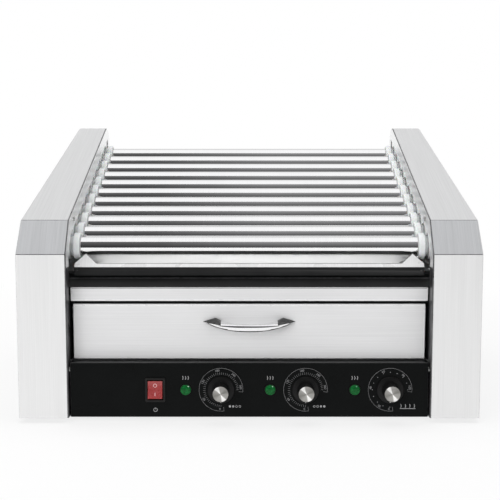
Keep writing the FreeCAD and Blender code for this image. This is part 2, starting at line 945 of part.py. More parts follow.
def drawer_runners():
    top = box_top - tray_sheet - slide_clearance
    start = bay_back + runner_setback
    ledge = block(
        box_half + runner_inset, plate_inner, start, back_depth, top - panel_sheet, top
    )
    leg = block(plate_inner - panel_sheet, plate_inner, start, back_depth, top - runner_leg, top)
    right = joined([ledge, leg])
    return Part.makeCompound([mirrored(right), right])


# A bow seen from above, thinned to points at both ends as seen from the front
def drawer_handle():
    half = handle_length / 2
    inner_half = handle_opening / 2
    inner_reach = handle_reach - handle_bar
    z = drawer_top - handle_below_top
    face = at(bay_recess)
    rear = face + handle_root
    bow = Part.Arc(vec(-half, face, 0), vec(0, face - handle_reach, 0), vec(half, face, 0)).toShape()
    root = Part.makePolygon([
        vec(half, face, 0), vec(half, rear, 0), vec(-half, rear, 0), vec(-half, face, 0)
    ])
    solid = Part.Face(Part.Wire([bow] + root.Edges)).extrude(vec(0, 0, handle_height))
    gap = Part.Arc(
        vec(-inner_half, face, 0), vec(0, face - inner_reach, 0), vec(inner_half, face, 0)
    ).toShape()
    gap_root = Part.makePolygon([
        vec(inner_half, face, 0), vec(inner_half, rear, 0), vec(-inner_half, rear, 0),
        vec(-inner_half, face, 0)
    ])
    opening = Part.Face(Part.Wire([gap] + gap_root.Edges)).extrude(vec(0, 0, handle_height))
    solid = solid.cut(opening)
    top = Part.Arc(
        vec(-half, rear, handle_height / 2), vec(0, rear, handle_height),
        vec(half, rear, handle_height / 2)
    ).toShape()
    low = Part.Arc(
        vec(half, rear, handle_height / 2), vec(0, rear, 0), vec(-half, rear, handle_height / 2)
    ).toShape()
    lens = Part.Face(Part.Wire([top, low])).extrude(vec(0, face - rear - handle_reach - overrun, 0))
    solid = solid.common(lens)
    solid.translate(vec(0, 0, z - handle_height / 2))
    solid.rotate(vec(0, face, z), vec(1, 0, 0), handle_droop)
    foot = block(-half, half, bay_recess - handle_reach - overrun, bay_recess, z - half, z + half)
    return solid.common(foot)


def housing_screws():
    screws = []
    for depth, z in screw_places():
        head = rod_x(depth, z, screw_head_radius, flange_inner - screw_head_height, flange_inner)
        shank = rod_x(depth, z, screw_shank_radius, flange_inner, flange_inner + screw_reach)
        screw = joined([head, shank])
        screws.append(screw)
        screws.append(mirrored(screw))
    for step in (-1, 0, 1):
        depth = panel_back + base_screw_setback
        head = rod_z(
            step * base_screw_pitch, depth, screw_head_radius, foot_height - screw_head_height,
            foot_height
        )
        screws.append(head)
    return Part.makeCompound(screws)


def all_parts():
    cover = side_cover()
    rings = seal_rings()
    parts = {
        "base_pan": base_pan(),
        "rubber_feet": rubber_feet(),
        "back_panel": back_panel(),
        "left_side_plate": mirrored(side_plate(False)),
        "right_side_plate": side_plate(True),
        "left_side_cover": mirrored(cover),
        "right_side_cover": cover,
        "left_seal_rings": mirrored(rings),
        "right_seal_rings": rings,
        "heater_rods": heater_rods(),
        "heater_bracket": heater_bracket(),
        "drive_chain": drive_chain(),
        "gear_motor": gear_motor(),
        "motor_sprocket": motor_sprocket(),
        "drip_tray": drip_tray(),
        "tray_deck": tray_deck(),
        "front_apron": front_apron(),
        "header_rail": header_rail(),
        "bay_ceiling": bay_ceiling(),
        "bay_shelf": bay_shelf(),
        "warming_element": warming_element(),
        "drawer_front": drawer_front(),
        "drawer_box": drawer_box(),
        "drawer_handle": drawer_handle(),
        "drawer_runners": drawer_runners(),
        "control_panel": control_panel(),
        "switch_frame": switch_frame(),
        "switch_rocker": switch_rocker(),
        "indicator_lamps": indicator_lamps(),
        "thermostats": thermostats(),
        "cord_gland": cord_gland(),
        "housing_screws": housing_screws(),
    }
    for number in range(roller_count):
        parts["roller_%02d" % (number + 1)] = roller(number)
        parts["sprocket_%02d" % (number + 1)] = sprocket(number)
    for name, dial_x in zip(("front", "back", "warmer"), dial_xs):
        parts[name + "_knob"] = knob(dial_x)
        parts[name + "_knob_cap"] = knob_cap(dial_x)
    return parts


os.makedirs("parts", exist_ok=True)
for node, shape in all_parts().items():
    shape.exportStep("parts/" + node + ".step")
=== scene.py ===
import bmesh
import bpy
import json
import math
from mathutils import Matrix, Vector

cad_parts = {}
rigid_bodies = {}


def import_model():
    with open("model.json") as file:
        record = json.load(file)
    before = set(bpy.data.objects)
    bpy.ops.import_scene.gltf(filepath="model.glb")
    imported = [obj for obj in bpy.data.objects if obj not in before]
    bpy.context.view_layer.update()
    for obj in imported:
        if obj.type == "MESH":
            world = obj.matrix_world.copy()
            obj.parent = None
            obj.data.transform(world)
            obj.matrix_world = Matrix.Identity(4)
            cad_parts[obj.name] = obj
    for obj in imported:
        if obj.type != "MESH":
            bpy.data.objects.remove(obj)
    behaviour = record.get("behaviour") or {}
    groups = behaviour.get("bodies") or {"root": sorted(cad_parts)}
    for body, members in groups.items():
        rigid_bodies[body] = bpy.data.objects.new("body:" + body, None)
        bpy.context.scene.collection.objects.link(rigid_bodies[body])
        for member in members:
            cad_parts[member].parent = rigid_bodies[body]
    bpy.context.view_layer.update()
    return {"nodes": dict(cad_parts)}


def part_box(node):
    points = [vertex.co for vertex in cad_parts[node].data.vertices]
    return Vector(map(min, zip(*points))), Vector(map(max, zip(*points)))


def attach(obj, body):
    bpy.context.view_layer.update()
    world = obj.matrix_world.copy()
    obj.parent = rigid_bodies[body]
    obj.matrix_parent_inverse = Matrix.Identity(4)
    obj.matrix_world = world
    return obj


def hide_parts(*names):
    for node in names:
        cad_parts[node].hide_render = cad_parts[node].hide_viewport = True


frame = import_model()
nodes = frame["nodes"]
print("frame loaded,", len(nodes), "nodes")


# Places that several pieces share, read from the frame
def middleOf(node):
    low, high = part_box(node)
    return (low + high) / 2


rollerCount = 11
rollerNames = ["roller_%02d" % (number + 1) for number in range(rollerCount)]
rollerAxes = [Vector((0, spot.y, spot.z)) for spot in map(middleOf, rollerNames)]
rowRun = rollerAxes[-1] - rollerAxes[0]
slopeAngle = math.atan2(rowRun.z, rowRun.y)
coverLow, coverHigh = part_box("right_side_cover")
panelLow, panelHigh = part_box("control_panel")
dialNames = ("front", "back", "warmer")
dialCentres = [middleOf(name + "_knob") for name in dialNames]
controlZ = dialCentres[0].z
fullTurn = 2 * math.pi
uprightTurn = Matrix.Rotation(math.radians(90), 4, "X")
xAxis, yAxis, zAxis = Vector((1, 0, 0)), Vector((0, 1, 0)), Vector((0, 0, 1))


# Finishes: two layers of noise tint the colour, vary the roughness and raise a fine bump.
# grain and mottle are waves per metre along x, y and z; a small number draws a long streak.
# One number stands for three alike. Each row follows finishColumns.
finishColumns = ("low", "high", "grain", "mottle", "shade", "rough", "bump", "metal", "sockets")
finishes = dict(
    # The four cover rows are lit and shaded copies of one brushed steel: painted light by the way a face
    # faces
    coverFront=(0.74, 0.785, (1500, 9, 9), (90, 6, 6), 0.97, (0.4, 0.52), 0.08, 0.15),
    coverChamfer=((0.45, 0.456, 0.468), (0.52, 0.526, 0.538), (1500, 14, 14), (160, 8, 8), 0.93,
        (0.36, 0.48), 0.08, 0.25),
    coverTop=((0.565, 0.567, 0.57), (0.625, 0.627, 0.63), (1500, 9, 9), (90, 6, 6), 0.95, (0.4, 0.52), 0.08,
        0.2),
    coverSide=((0.62, 0.625, 0.63), (0.74, 0.743, 0.745), (9, 9, 1500), (5, 5, 90), 0.93, (0.38, 0.5), 0.1,
        0.7),
    # Painted shade: dark lines on folds, turns and edges where shade falls, and on the cover flange below
    # shadeTop
    paintedShadeLine=((0.1, 0.1, 0.105), (0.2, 0.2, 0.205), 60, 30, 0.8, (0.25, 0.4), 0.04, 0.8),
    drawerSteel=((0.715, 0.715, 0.72), (0.765, 0.765, 0.77), (8, 8, 1600), (14, 14, 50), 0.97, (0.38, 0.5),
        0.08, 0.15),
    # Painted highlight on the rounded edges and front border of drawer and header; painted shade on the
    # header's top edge
    paintedHighlightRim=(0.86, 0.94, 300, 60, 0.95, (0.25, 0.4), 0.04, 0.2),
    rimShade=((0.27, 0.27, 0.275), (0.34, 0.34, 0.345), 300, 60, 0.9, (0.3, 0.45), 0.04, 0.2),
    flangeMirror=((0.88, 0.885, 0.89), (0.95, 0.953, 0.955), (700, 40, 40), 22, 0.95, (0.28, 0.38), 0.05,
        1.0),
    plateMirror=((0.8, 0.805, 0.81), (0.88, 0.883, 0.885), (40, 700, 40), 22, 0.9, (0.06, 0.14), 0.04, 1.0),
    rollerMirror=(0.95, 0.98, (700, 10, 10), (30, 14, 14), 0.98, (0.05, 0.1), 0.01, 1.0,
        {"Specular Tint": (0.4, 0.4, 0.4, 1.0)}),
    # Painted shade: the pan floor is dark where it lies in shade under the rollers and behind the lip
    trayShade=(0.06, 0.1, (1200, 16, 16), 24, 0.9, (0.3, 0.42), 0.05, 0.4),
    traySteel=(0.705, 0.73, (1200, 16, 16), 24, 0.995, (0.3, 0.32), 0.05, 0.12),
    trayLip=(0.69, 0.75, (1200, 16, 16), 24, 0.96, (0.25, 0.36), 0.05, 0.12),
    # Painted dark reflection: the skirt's near-black colour stands for polished steel reflecting dark; its
    # gloss is real
    skirtPaintedDarkReflection=((0.016, 0.0163, 0.0167), (0.022, 0.0223, 0.0227), (14, 14, 900), 20, 0.9, (0.12, 0.2),
        0.03, 0.0, {"Specular IOR Level": 0.4}),
    handleChrome=((0.9, 0.9, 0.905), 0.95, 500, 60, 0.97, (0.05, 0.1), 0.01, 1.0),
    # Painted dark reflection on the handle's foot tops and underside
    handlePaintedDarkReflection=(0.05, 0.1, 300, 90, 0.8, (0.2, 0.3), 0.02, 0.7),
    innerSteel=((0.5, 0.505, 0.51), (0.6, 0.605, 0.61), (30, 900, 30), 16, 0.88, (0.32, 0.46), 0.06, 0.9),
    panEnamel=((0.55, 0.555, 0.56), (0.63, 0.635, 0.64), (700, 20, 20), 12, 0.88, (0.4, 0.55), 0.08, 0.8),
    blackEnamel=((0.0042, 0.0047, 0.0047), (0.0062, 0.0068, 0.0068), 1400, 30, 0.8, (0.26, 0.36), 0.05, 0.0,
        {"Specular IOR Level": 0.05}),
    apronBlack=((0.01, 0.0102, 0.0105), (0.016, 0.0162, 0.0165), 1100, 40, 0.8, (0.34, 0.46), 0.06, 0.0,
        {"Specular IOR Level": 0.2}),
    # Painted highlight on edges: the panel's rounded edges and the apron's upper fold
    paintedEdgeHighlight=((0.05, 0.05, 0.052), (0.11, 0.11, 0.113), 700, 90, 0.7, (0.3, 0.45), 0.1, 0.1),
    ringWhite=((0.86, 0.865, 0.86), (0.93, 0.935, 0.93), 600, 70, 0.95, (0.38, 0.52), 0.06, 0.0,
        {"Subsurface Weight": 0.08}),
    footRubber=(0.012, 0.03, 1800, 80, 0.8, (0.7, 0.85), 0.35, 0.0, {"Specular IOR Level": 0.3}),
    knobPlastic=(0.0045, 0.0085, 2600, 120, 0.8, (0.32, 0.44), 0.12, 0.0, {"Specular IOR Level": 0.2}),
    switchPlastic=((0.008, 0.0076, 0.0073), (0.0125, 0.012, 0.0116), 2600, 150, 0.8, (0.3, 0.4), 0.1, 0.0,
        {"Specular IOR Level": 0.2}),
    rockerRed=((0.29, 0.03, 0.031), (0.35, 0.042, 0.042), (900, 900, 120), 160, 0.92, (0.22, 0.3), 0.03,
        0.0, {"Coat Weight": 0.35, "Coat Roughness": 0.12, "Subsurface Weight": 0.1}),
    lensGreen=((0.004, 0.07, 0.016), (0.008, 0.165, 0.034), 700, 320, 0.6, (0.12, 0.2), 0.12, 0.0,
        {"Specular IOR Level": 0.0, "Coat Weight": 0.3, "Coat Roughness": 0.03}),
    scaleInk=((0.2, 0.2, 0.205), (0.3, 0.3, 0.305), 1600, 300, 0.8, (0.45, 0.6), 0.05, 0.0,
        {"Specular IOR Level": 0.2}),
    rockerMark=((0.62, 0.36, 0.36), (0.74, 0.46, 0.46), 900, 300, 0.9, (0.3, 0.4), 0.02, 0.0,
        {"Specular IOR Level": 0.3}),
    printInk=((0.34, 0.34, 0.345), (0.46, 0.46, 0.465), 1600, 300, 0.85, (0.45, 0.6), 0.05, 0.0,
        {"Specular IOR Level": 0.3}),
    markWhite=((0.72, 0.72, 0.7), (0.85, 0.85, 0.84), 1600, 300, 0.9, (0.4, 0.55), 0.05, 0.0,
        {"Specular IOR Level": 0.4}),
    screwZinc=((0.58, 0.58, 0.57), (0.72, 0.72, 0.71), 900, 200, 0.8, (0.22, 0.36), 0.1, 1.0),
    heaterSteel=((0.2, 0.185, 0.17), (0.34, 0.32, 0.3), (30, 700, 700), 35, 0.7, (0.4, 0.6), 0.1, 0.9),
    driveSteel=((0.22, 0.22, 0.225), (0.36, 0.36, 0.365), 600, 60, 0.7, (0.35, 0.5), 0.1, 1.0),
    motorGrey=((0.1, 0.105, 0.11), (0.16, 0.165, 0.17), 1200, 50, 0.8, (0.45, 0.6), 0.15, 0.2),
    # Painted highlight: the cap's fans of light and dark are painted into its colour
    capSpunPaintedFans=(0.84, 1.0, 900, 200, 0.94, (0.3, 0.38), 0.02, 0.35, {"Anisotropic": 0.7}))
noiseSet = dict(detail=3.0, darkAt=0.32, lightAt=0.68, bumpDepth=0.0003)
mixPorts = dict(one=6, two=7, result=2)


def addNode(tree, kind, sockets=None, **settings):
    made = tree.nodes.new("ShaderNode" + kind)
    for key, value in settings.items():
        setattr(made, key, value)
    for key, value in (sockets or {}).items():
        made.inputs[key].default_value = value
    return made


def join(source, output, target, socket):
    source.id_data.links.new(source.outputs[output], target.inputs[socket])


def newMaterial(name):
    material = bpy.data.materials.new(name)
    material.use_nodes = True
    return material, material.node_tree


def triple(value):
    return value if isinstance(value, tuple) else (value,) * 3


def setRamp(band, stops):
    ramp = band.color_ramp.elements
    while len(ramp) < len(stops):
        ramp.new(0.5)
    for element, (spot, colour) in zip(ramp, stops):
        element.position = spot
        element.color = colour


def noiseLayer(tree, place, waves):
    mapping = addNode(tree, "Mapping", {"Scale": triple(waves)})
    noise = addNode(tree, "TexNoise", {"Scale": 1.0, "Detail": noiseSet["detail"]})
    join(place, "Object", mapping, "Vector")
    join(mapping, "Vector", noise, "Vector")
    return noise


def colourBand(tree, noise, dark, light):
    band = addNode(tree, "ValToRGB")
    setRamp(band, (
        (noiseSet["darkAt"], (*triple(dark), 1.0)), (noiseSet["lightAt"], (*triple(light), 1.0))))
    join(noise, "Fac", band, "Fac")
    return band.outputs["Color"]


def multiplied(tree, one, two):
    blend = addNode(tree, "Mix", {"Factor": 1.0}, data_type="RGBA", blend_type="MULTIPLY")
    tree.links.new(one, blend.inputs[mixPorts["one"]])
    tree.links.new(two, blend.inputs[mixPorts["two"]])
    return blend.outputs[mixPorts["result"]]


def makeFinish(name, row):
    look = dict(zip(finishColumns, row))
    material, tree = newMaterial(name)
    shader = tree.nodes["Principled BSDF"]
    shader.inputs["Metallic"].default_value = look["metal"]
    for socket, value in look.get("sockets", {}).items():
        shader.inputs[socket].default_value = value
    place = addNode(tree, "TexCoord")
    grain = noiseLayer(tree, place, look["grain"])
    mottle = noiseLayer(tree, place, look["mottle"])
    tint = colourBand(tree, grain, look["low"], look["high"])
    shade = colourBand(tree, mottle, look["shade"], 1.0)
    tree.links.new(multiplied(tree, tint, shade), shader.inputs["Base Color"])
    polish = addNode(tree, "MapRange", {
        "From Min": noiseSet["darkAt"], "From Max": noiseSet["lightAt"],
        "To Min": look["rough"][0], "To Max": look["rough"][1]})
    join(mottle, "Fac", polish, "Value")
    join(polish, "Result", shader, "Roughness")
    bump = addNode(tree, "Bump", {"Strength": look["bump"], "Distance": noiseSet["bumpDepth"]})
    join(grain, "Fac", bump, "Height")
    join(bump, "Normal", shader, "Normal")
    return material


finish = {name: makeFinish(name, row) for name, row in finishes.items()}
print("finishes made:", len(finish))


def pick(settings, names):
    return (settings[name] for name in names.split())


# Shared ways of making a mesh
meshSet = dict(merge=0.000002, flat=1, crease=60, frontFacing=-0.99)


def newPiece(name, bm, looks, body, stands=(), sharp=32, sheet=0.0, even=False):
    mesh = bpy.data.meshes.new(name)
    bm.to_mesh(mesh)
    bm.free()
    for look in looks:
        mesh.materials.append(finish[look])
    mesh.shade_smooth()
    mesh.set_sharp_from_angle(angle=math.radians(sharp))
    piece = bpy.data.objects.new(name, mesh)
    bpy.context.scene.collection.objects.link(piece)
    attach(piece, body)
    if stands:
        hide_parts(*stands)
    if sheet:
        wall = piece.modifiers.new("sheet", "SOLIDIFY")
        wall.thickness = sheet
        wall.offset = -1.0
        wall.use_even_offset = True
    if even:
        piece.modifiers.new("evenNormals", "WEIGHTED_NORMAL").keep_sharp = True


def roundEdges(bm, edges, width, segments):
    bmesh.ops.bevel(
        bm, geom=edges, offset=width, offset_type="OFFSET", segments=segments, profile=0.5,
        affect="EDGES", material=-1, clamp_overlap=True)


def sharpEdges(bm, degrees):
    limit = math.radians(degrees)
    return [edge for edge in bm.edges if len(edge.link_faces) == 2 and edge.calc_face_angle(0) > limit]


def frontFaces(bm):
    return [face for face in bm.faces if face.normal.y < meshSet["frontFacing"]]


def leaning(bm, least, most, rise):
    return [face for face in bm.faces if least < face.normal.y < most and face.normal.z > rise]


def dropFaces(bm, faces):
    bmesh.ops.delete(bm, geom=faces, context="FACES")


def cutFaces(bm, faces, point, way):
    geom = list({item for face in faces for item in (face, *face.edges, *face.verts)})
    bmesh.ops.bisect_plane(bm, geom=geom, plane_co=point, plane_no=way)


def keepBeyond(bm, point, way):
    bmesh.ops.bisect_plane(
        bm, geom=bm.verts[:] + bm.edges[:] + bm.faces[:], plane_co=point, plane_no=way, clear_inner=True)


def mergeClose(bm):
    bmesh.ops.remove_doubles(bm, verts=bm.verts, dist=meshSet["merge"])


def cleanShell(bm):
    mergeClose(bm)
    bmesh.ops.recalc_face_normals(bm, faces=bm.faces)


def moveInto(bm, part):
    mesh = bpy.data.meshes.new("part")
    part.to_mesh(mesh)
    part.free()
    bm.from_mesh(mesh)
    bpy.data.meshes.remove(mesh)


def boxBetween(bm, low, high):
    verts = bmesh.ops.create_cube(bm, size=1.0)["verts"]
    size = Vector(high) - Vector(low)
    centre = (Vector(high) + Vector(low)) / 2
    place = Matrix.Translation(centre) @ Matrix.Diagonal((*size, 1.0))
    bmesh.ops.transform(bm, matrix=place, verts=verts)


# Turns a profile of (along the axis, radius) points about the axis through centre
def spinProfile(bm, profile, centre, axis, out, steps):
    verts = [bm.verts.new(centre + axis * along + out * radius) for along, radius in profile]
    edges = [bm.edges.new((verts[n - 1], verts[n])) for n in range(len(verts))]
    bmesh.ops.spin(
        bm, geom=verts + edges, cent=centre, axis=axis, dvec=(0, 0, 0), angle=fullTurn, steps=steps,
        use_merge=True)


def cadCopy(node):
    bm = bmesh.new()
    bm.from_mesh(nodes[node].data)
    mergeClose(bm)
    bmesh.ops.dissolve_limit(
        bm, angle_limit=math.radians(meshSet["flat"]), verts=bm.verts, edges=bm.edges)
    return bm


# Side covers: one bent sheet each, with a return flange inside
coverSet = dict(
    bendSetback=0.0298, chamferDrop=0.0402, chamferRise=36.5, capRise=0.0452, toeIn=0.021, flange=0.020,
    sheet=0.001, foldRound=0.0012, foldSteps=3, rearSteps=12, edgeRound=0.0018, edgeSteps=3, spare=0.03,
    shadeTop=0.196, sideFacing=0.6, flangeFacing=-0.9, turnFacing=-0.15, riseSlack=9, topRise=64,
    near=0.00001)
# Front, chamfer, top and side looks are painted light on one steel; the painted shade line darkens folds and
# the lower flange
coverLooks = ("coverFront", "coverChamfer", "coverTop", "coverSide", "flangeMirror", "paintedShadeLine")


def capTop(y):
    first = rollerAxes[0]
    return first.z + (y - first.y) * math.tan(slopeAngle) + coverSet["capRise"] / math.cos(slopeAngle)


# How far the rear corner's round reaches, so that it peaks at the frame's height
def rearReach():
    lean = math.sin(slopeAngle)
    peak = math.atan(lean)
    share = lean * (1 - math.sin(peak)) + 1 - math.cos(peak)
    return (capTop(coverHigh.y) - coverHigh.z) / share


# Which of the cover's looks a face takes, from the way it faces: lit and shaded copies of one steel, painted
# light
def coverLook(face):
    across = face.normal.x
    rise = math.degrees(math.atan2(face.normal.z, -face.normal.y))
    if across > coverSet["sideFacing"]:
        return "coverSide"
    if across < coverSet["flangeFacing"]:
        # The flange below shadeTop, the turn along the inner edge and the fold rounds take the painted shade
        # line
        return "paintedShadeLine" if face.calc_center_median().z < coverSet["shadeTop"] else "flangeMirror"
    if across < coverSet["turnFacing"]:
        return "paintedShadeLine"
    if abs(rise) < coverSet["riseSlack"]:
        return "coverFront"
    if abs(rise - coverSet["chamferRise"]) < coverSet["riseSlack"]:
        return "coverChamfer"
    return "paintedShadeLine" if 0 < rise < coverSet["topRise"] else "coverTop"


def flangeFaces(bm):
    return [face for face in bm.faces if face.normal.x < coverSet["flangeFacing"]]


def sideCover(name, node, side):
    front, rear = coverLow.y, coverHigh.y
    low = coverLow.z - coverSet["spare"]
    upperY = front + coverSet["bendSetback"]
    upperZ = capTop(upperY)
    corners = [
        (front, low), (front, upperZ - coverSet["chamferDrop"]), (upperY, upperZ), (rear, capTop(rear)),
        (rear, low)]
    bm = bmesh.new()
    inner = bm.faces.new([bm.verts.new((coverLow.x, y, z)) for y, z in corners])
    made = bmesh.ops.extrude_face_region(bm, geom=[inner])["geom"]
    for vert in made:
        if isinstance(vert, bmesh.types.BMVert):
            lean = coverSet["toeIn"] * (vert.co.y - front) / (rear - front)
            vert.co.x = coverHigh.x - lean
    bmesh.ops.recalc_face_normals(bm, faces=bm.faces)
    inner = min(bm.faces, key=lambda face: face.calc_center_median().x)
    bmesh.ops.inset_region(
        bm, faces=[inner], thickness=coverSet["flange"], use_even_offset=True, use_boundary=True)
    dropFaces(bm, [inner])
    keepBeyond(bm, (0, 0, coverLow.z), zAxis)
    bmesh.ops.dissolve_faces(bm, faces=flangeFaces(bm), use_verts=False)
    cutFaces(bm, flangeFaces(bm), (0, 0, coverSet["shadeTop"]), zAxis)
    bend = (coverSet["foldRound"], coverSet["foldSteps"])
    for (y, z), (width, steps) in zip(corners[1:4], (bend, bend, (rearReach(), coverSet["rearSteps"]))):
        fold = [edge for edge in bm.edges if all(
            max(abs(vert.co.y - y), abs(vert.co.z - z)) < coverSet["near"] for vert in edge.verts)]
        roundEdges(bm, fold, width, steps)
    roundEdges(bm, sharpEdges(bm, meshSet["crease"]), coverSet["edgeRound"], coverSet["edgeSteps"])
    # Painted light and painted shade: each face takes a lit or shaded copy of the steel by the way it faces
    for face in bm.faces:
        face.material_index = coverLooks.index(coverLook(face))
    if side < 0:
        bmesh.ops.scale(bm, vec=(-1, 1, 1), verts=bm.verts)
        bmesh.ops.reverse_faces(bm, faces=bm.faces)
    newPiece(name, bm, coverLooks, "housing", [node], sheet=coverSet["sheet"], even=True)


sideCover("leftCover", "left_side_cover", -1)
sideCover("rightCover", "right_side_cover", 1)
print("side covers bent")


# Rollers: a polished tube with turned ends and hollow journals
rollerSet = dict(
    slim=0.0005, steps=80, endGap=0.0003, endRound=0.0008, crease=50, journalRadius=0.008, boreRadius=0.006)


def rollerTube(number):
    node = rollerNames[number]
    low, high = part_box(node)
    radius = (high.z - low.z) / 2 - rollerSet["slim"]
    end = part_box("right_seal_rings")[0].x - rollerSet["endGap"]
    journal, bore = rollerSet["journalRadius"], rollerSet["boreRadius"]
    profile = [
        (low.x, bore), (low.x, journal), (-end, journal), (-end, radius), (end, radius), (end, journal),
        (high.x, journal), (high.x, bore)]
    bm = bmesh.new()
    spinProfile(bm, profile, rollerAxes[number], xAxis, zAxis, rollerSet["steps"])
    cleanShell(bm)
    roundEdges(bm, sharpEdges(bm, rollerSet["crease"]), rollerSet["endRound"], 3)
    newPiece(
        "tube_%02d" % (number + 1), bm, ("rollerMirror",), node, [node], even=True)


for number in range(rollerCount):
    rollerTube(number)


# White end rings: a dished rim, a hub against the plate and a spigot through it
ringSet = dict(
    rim=0.017, rimLength=0.0082, hub=0.01308, hubLength=0.002, spigot=0.01108, bore=0.00808,
    dishOuter=0.0146, dishInner=0.0105, dishDepth=0.0007, edgeRound=0.0011, slack=0.0001, steps=48)


def endRings(name, node, side):
    low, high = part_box(node)
    near, far = sorted((abs(low.x), abs(high.x)))
    rimBack = near + ringSet["rimLength"]
    hubBack = rimBack + ringSet["hubLength"]
    dish = near + ringSet["dishDepth"]
    bore, rim, hub, spigot = pick(ringSet, "bore rim hub spigot")
    inner, outer = pick(ringSet, "dishInner dishOuter")
    profile = [
        (near, bore), (near, inner), (dish, inner), (dish, outer), (near, outer), (near, rim),
        (rimBack, rim), (rimBack, hub), (hubBack, hub), (hubBack, spigot), (far, spigot), (far, bore)]
    bm = bmesh.new()
    for centre in rollerAxes:
        spinProfile(bm, profile, centre, xAxis * side, zAxis, ringSet["steps"])
    cleanShell(bm)
    edges = []
    for edge in sharpEdges(bm, meshSet["crease"]):
        spot = edge.verts[0].co
        reach = min(math.hypot(spot.y - axis.y, spot.z - axis.z) for axis in rollerAxes)
        if reach > rim - ringSet["slack"]:
            edges.append(edge)
    roundEdges(bm, edges, ringSet["edgeRound"], 3)
    newPiece(name, bm, ("ringWhite",), "housing", [node], even=True)


endRings("leftRings", "left_seal_rings", -1)
endRings("rightRings", "right_seal_rings", 1)
print("rollers and rings turned")


# Folded faces: a face with returns behind it, open where the sheet has no return
faceSet = dict(
    sheet=0.0012, drawerRound=0.0014, headerRound=0.0011, panelRound=0.0011, headerHalf=0.2259,
    holeInside=0.0016, rim=0.0009, openFacing=0.9, flatFacing=0.95)


# Cuts a square hole through the front of a sheet
def cutHole(bm, low, high):
    for corner, way in ((low, xAxis), (high, xAxis), (low, zAxis), (high, zAxis)):
        cutFaces(bm, frontFaces(bm), corner, way)
    gone = []
    for face in frontFaces(bm):
        heart = face.calc_center_median()
        if low.x < heart.x < high.x and low.z < heart.z < high.z:
            gone.append(face)
    dropFaces(bm, gone)


def foldedFace(name, node, opened, looks, body, edgeRound, half=None, hole=None, rim=0.0):
    low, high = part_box(node)
    if half:
        low.x, high.x = -half, half
    bm = bmesh.new()
    boxBetween(bm, low, high)
    dropFaces(bm, [
        face for face in bm.faces if any(face.normal.dot(way) > faceSet["openFacing"] for way in opened)])
    roundEdges(bm, sharpEdges(bm, meshSet["crease"]), edgeRound, 3)
    if hole:
        cutHole(bm, *hole)
    # Rounded edges and the front border take looks[1], a painted highlight; the top edge takes looks[2], a
    # painted shade
    for face in bm.faces:
        if max(abs(part) for part in face.normal) < faceSet["flatFacing"]:
            face.material_index = 1
    if rim:
        border = bmesh.ops.inset_region(
            bm, faces=frontFaces(bm), thickness=rim, use_even_offset=True, use_boundary=True)
        for face in border["faces"]:
            face.material_index = 1
    if len(looks) > 2:
        for face in bm.faces:
            if face.material_index == 1 and face.calc_center_median().z > high.z - edgeRound - rim:
                face.material_index = 2
    newPiece(name, bm, looks, body, [node], sheet=faceSet["sheet"], even=True)


switchLow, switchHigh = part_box("switch_frame")
inside = Vector((1, 0, 1)) * faceSet["holeInside"]
foldedFace(
    "drawerFace", "drawer_front", [yAxis], ("drawerSteel", "paintedHighlightRim"), "drawer",
    faceSet["drawerRound"], rim=faceSet["rim"])
foldedFace(
    "headerFace", "header_rail", [yAxis], ("drawerSteel", "paintedHighlightRim", "rimShade"),
    "housing", faceSet["headerRound"], half=faceSet["headerHalf"], rim=faceSet["rim"])
foldedFace(
    "panelFace", "control_panel", [yAxis, -zAxis], ("blackEnamel", "paintedEdgeHighlight"),
    "housing", faceSet["panelRound"], hole=(switchLow + inside, switchHigh - inside))


# Black seals that close the gaps beside and over the drawer; their black is painted shade that stands for the
# gaps' shadow
sealSet = dict(inner=0.2264, start=0.0024, depth=0.012, slack=0.0003, round=0.0004)


def baySeals():
    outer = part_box("right_side_plate")[0].x
    headerLow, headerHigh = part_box("header_rail")
    front = headerLow.y + sealSet["start"]
    back = front + sealSet["depth"]
    inner = sealSet["inner"]
    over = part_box("drawer_front")[1].z + sealSet["slack"]
    bm = bmesh.new()
    boxBetween(bm, (-outer, front, panelHigh.z), (-inner, back, headerHigh.z))
    boxBetween(bm, (inner, front, panelHigh.z), (outer, back, headerHigh.z))
    boxBetween(bm, (-inner, front, over), (inner, back, headerLow.z))
    roundEdges(bm, sharpEdges(bm, meshSet["crease"]), sealSet["round"], 2)
    newPiece("baySeals", bm, ("blackEnamel",), "housing")


baySeals()
print("folded faces made")


# Drip tray: a folded pan with a skirt painted dark as a painted reflection, a painted shade line round its
# lip, a floor painted dark as painted shade and a bright liner
traySet = dict(
    lipBorder=0.0006, skirtTop=0.0108, linerFront=0.064, liner=0.0004, lineLift=0.002, sharp=20,
    level=0.95, rising=0.05, floor=(-0.4, -0.2, 0.9), lip=(-0.9, -0.6, 0.5), skirtFacing=-0.9)
trayLooks = ("traySteel", "trayLip", "skirtPaintedDarkReflection", "paintedShadeLine", "trayShade")


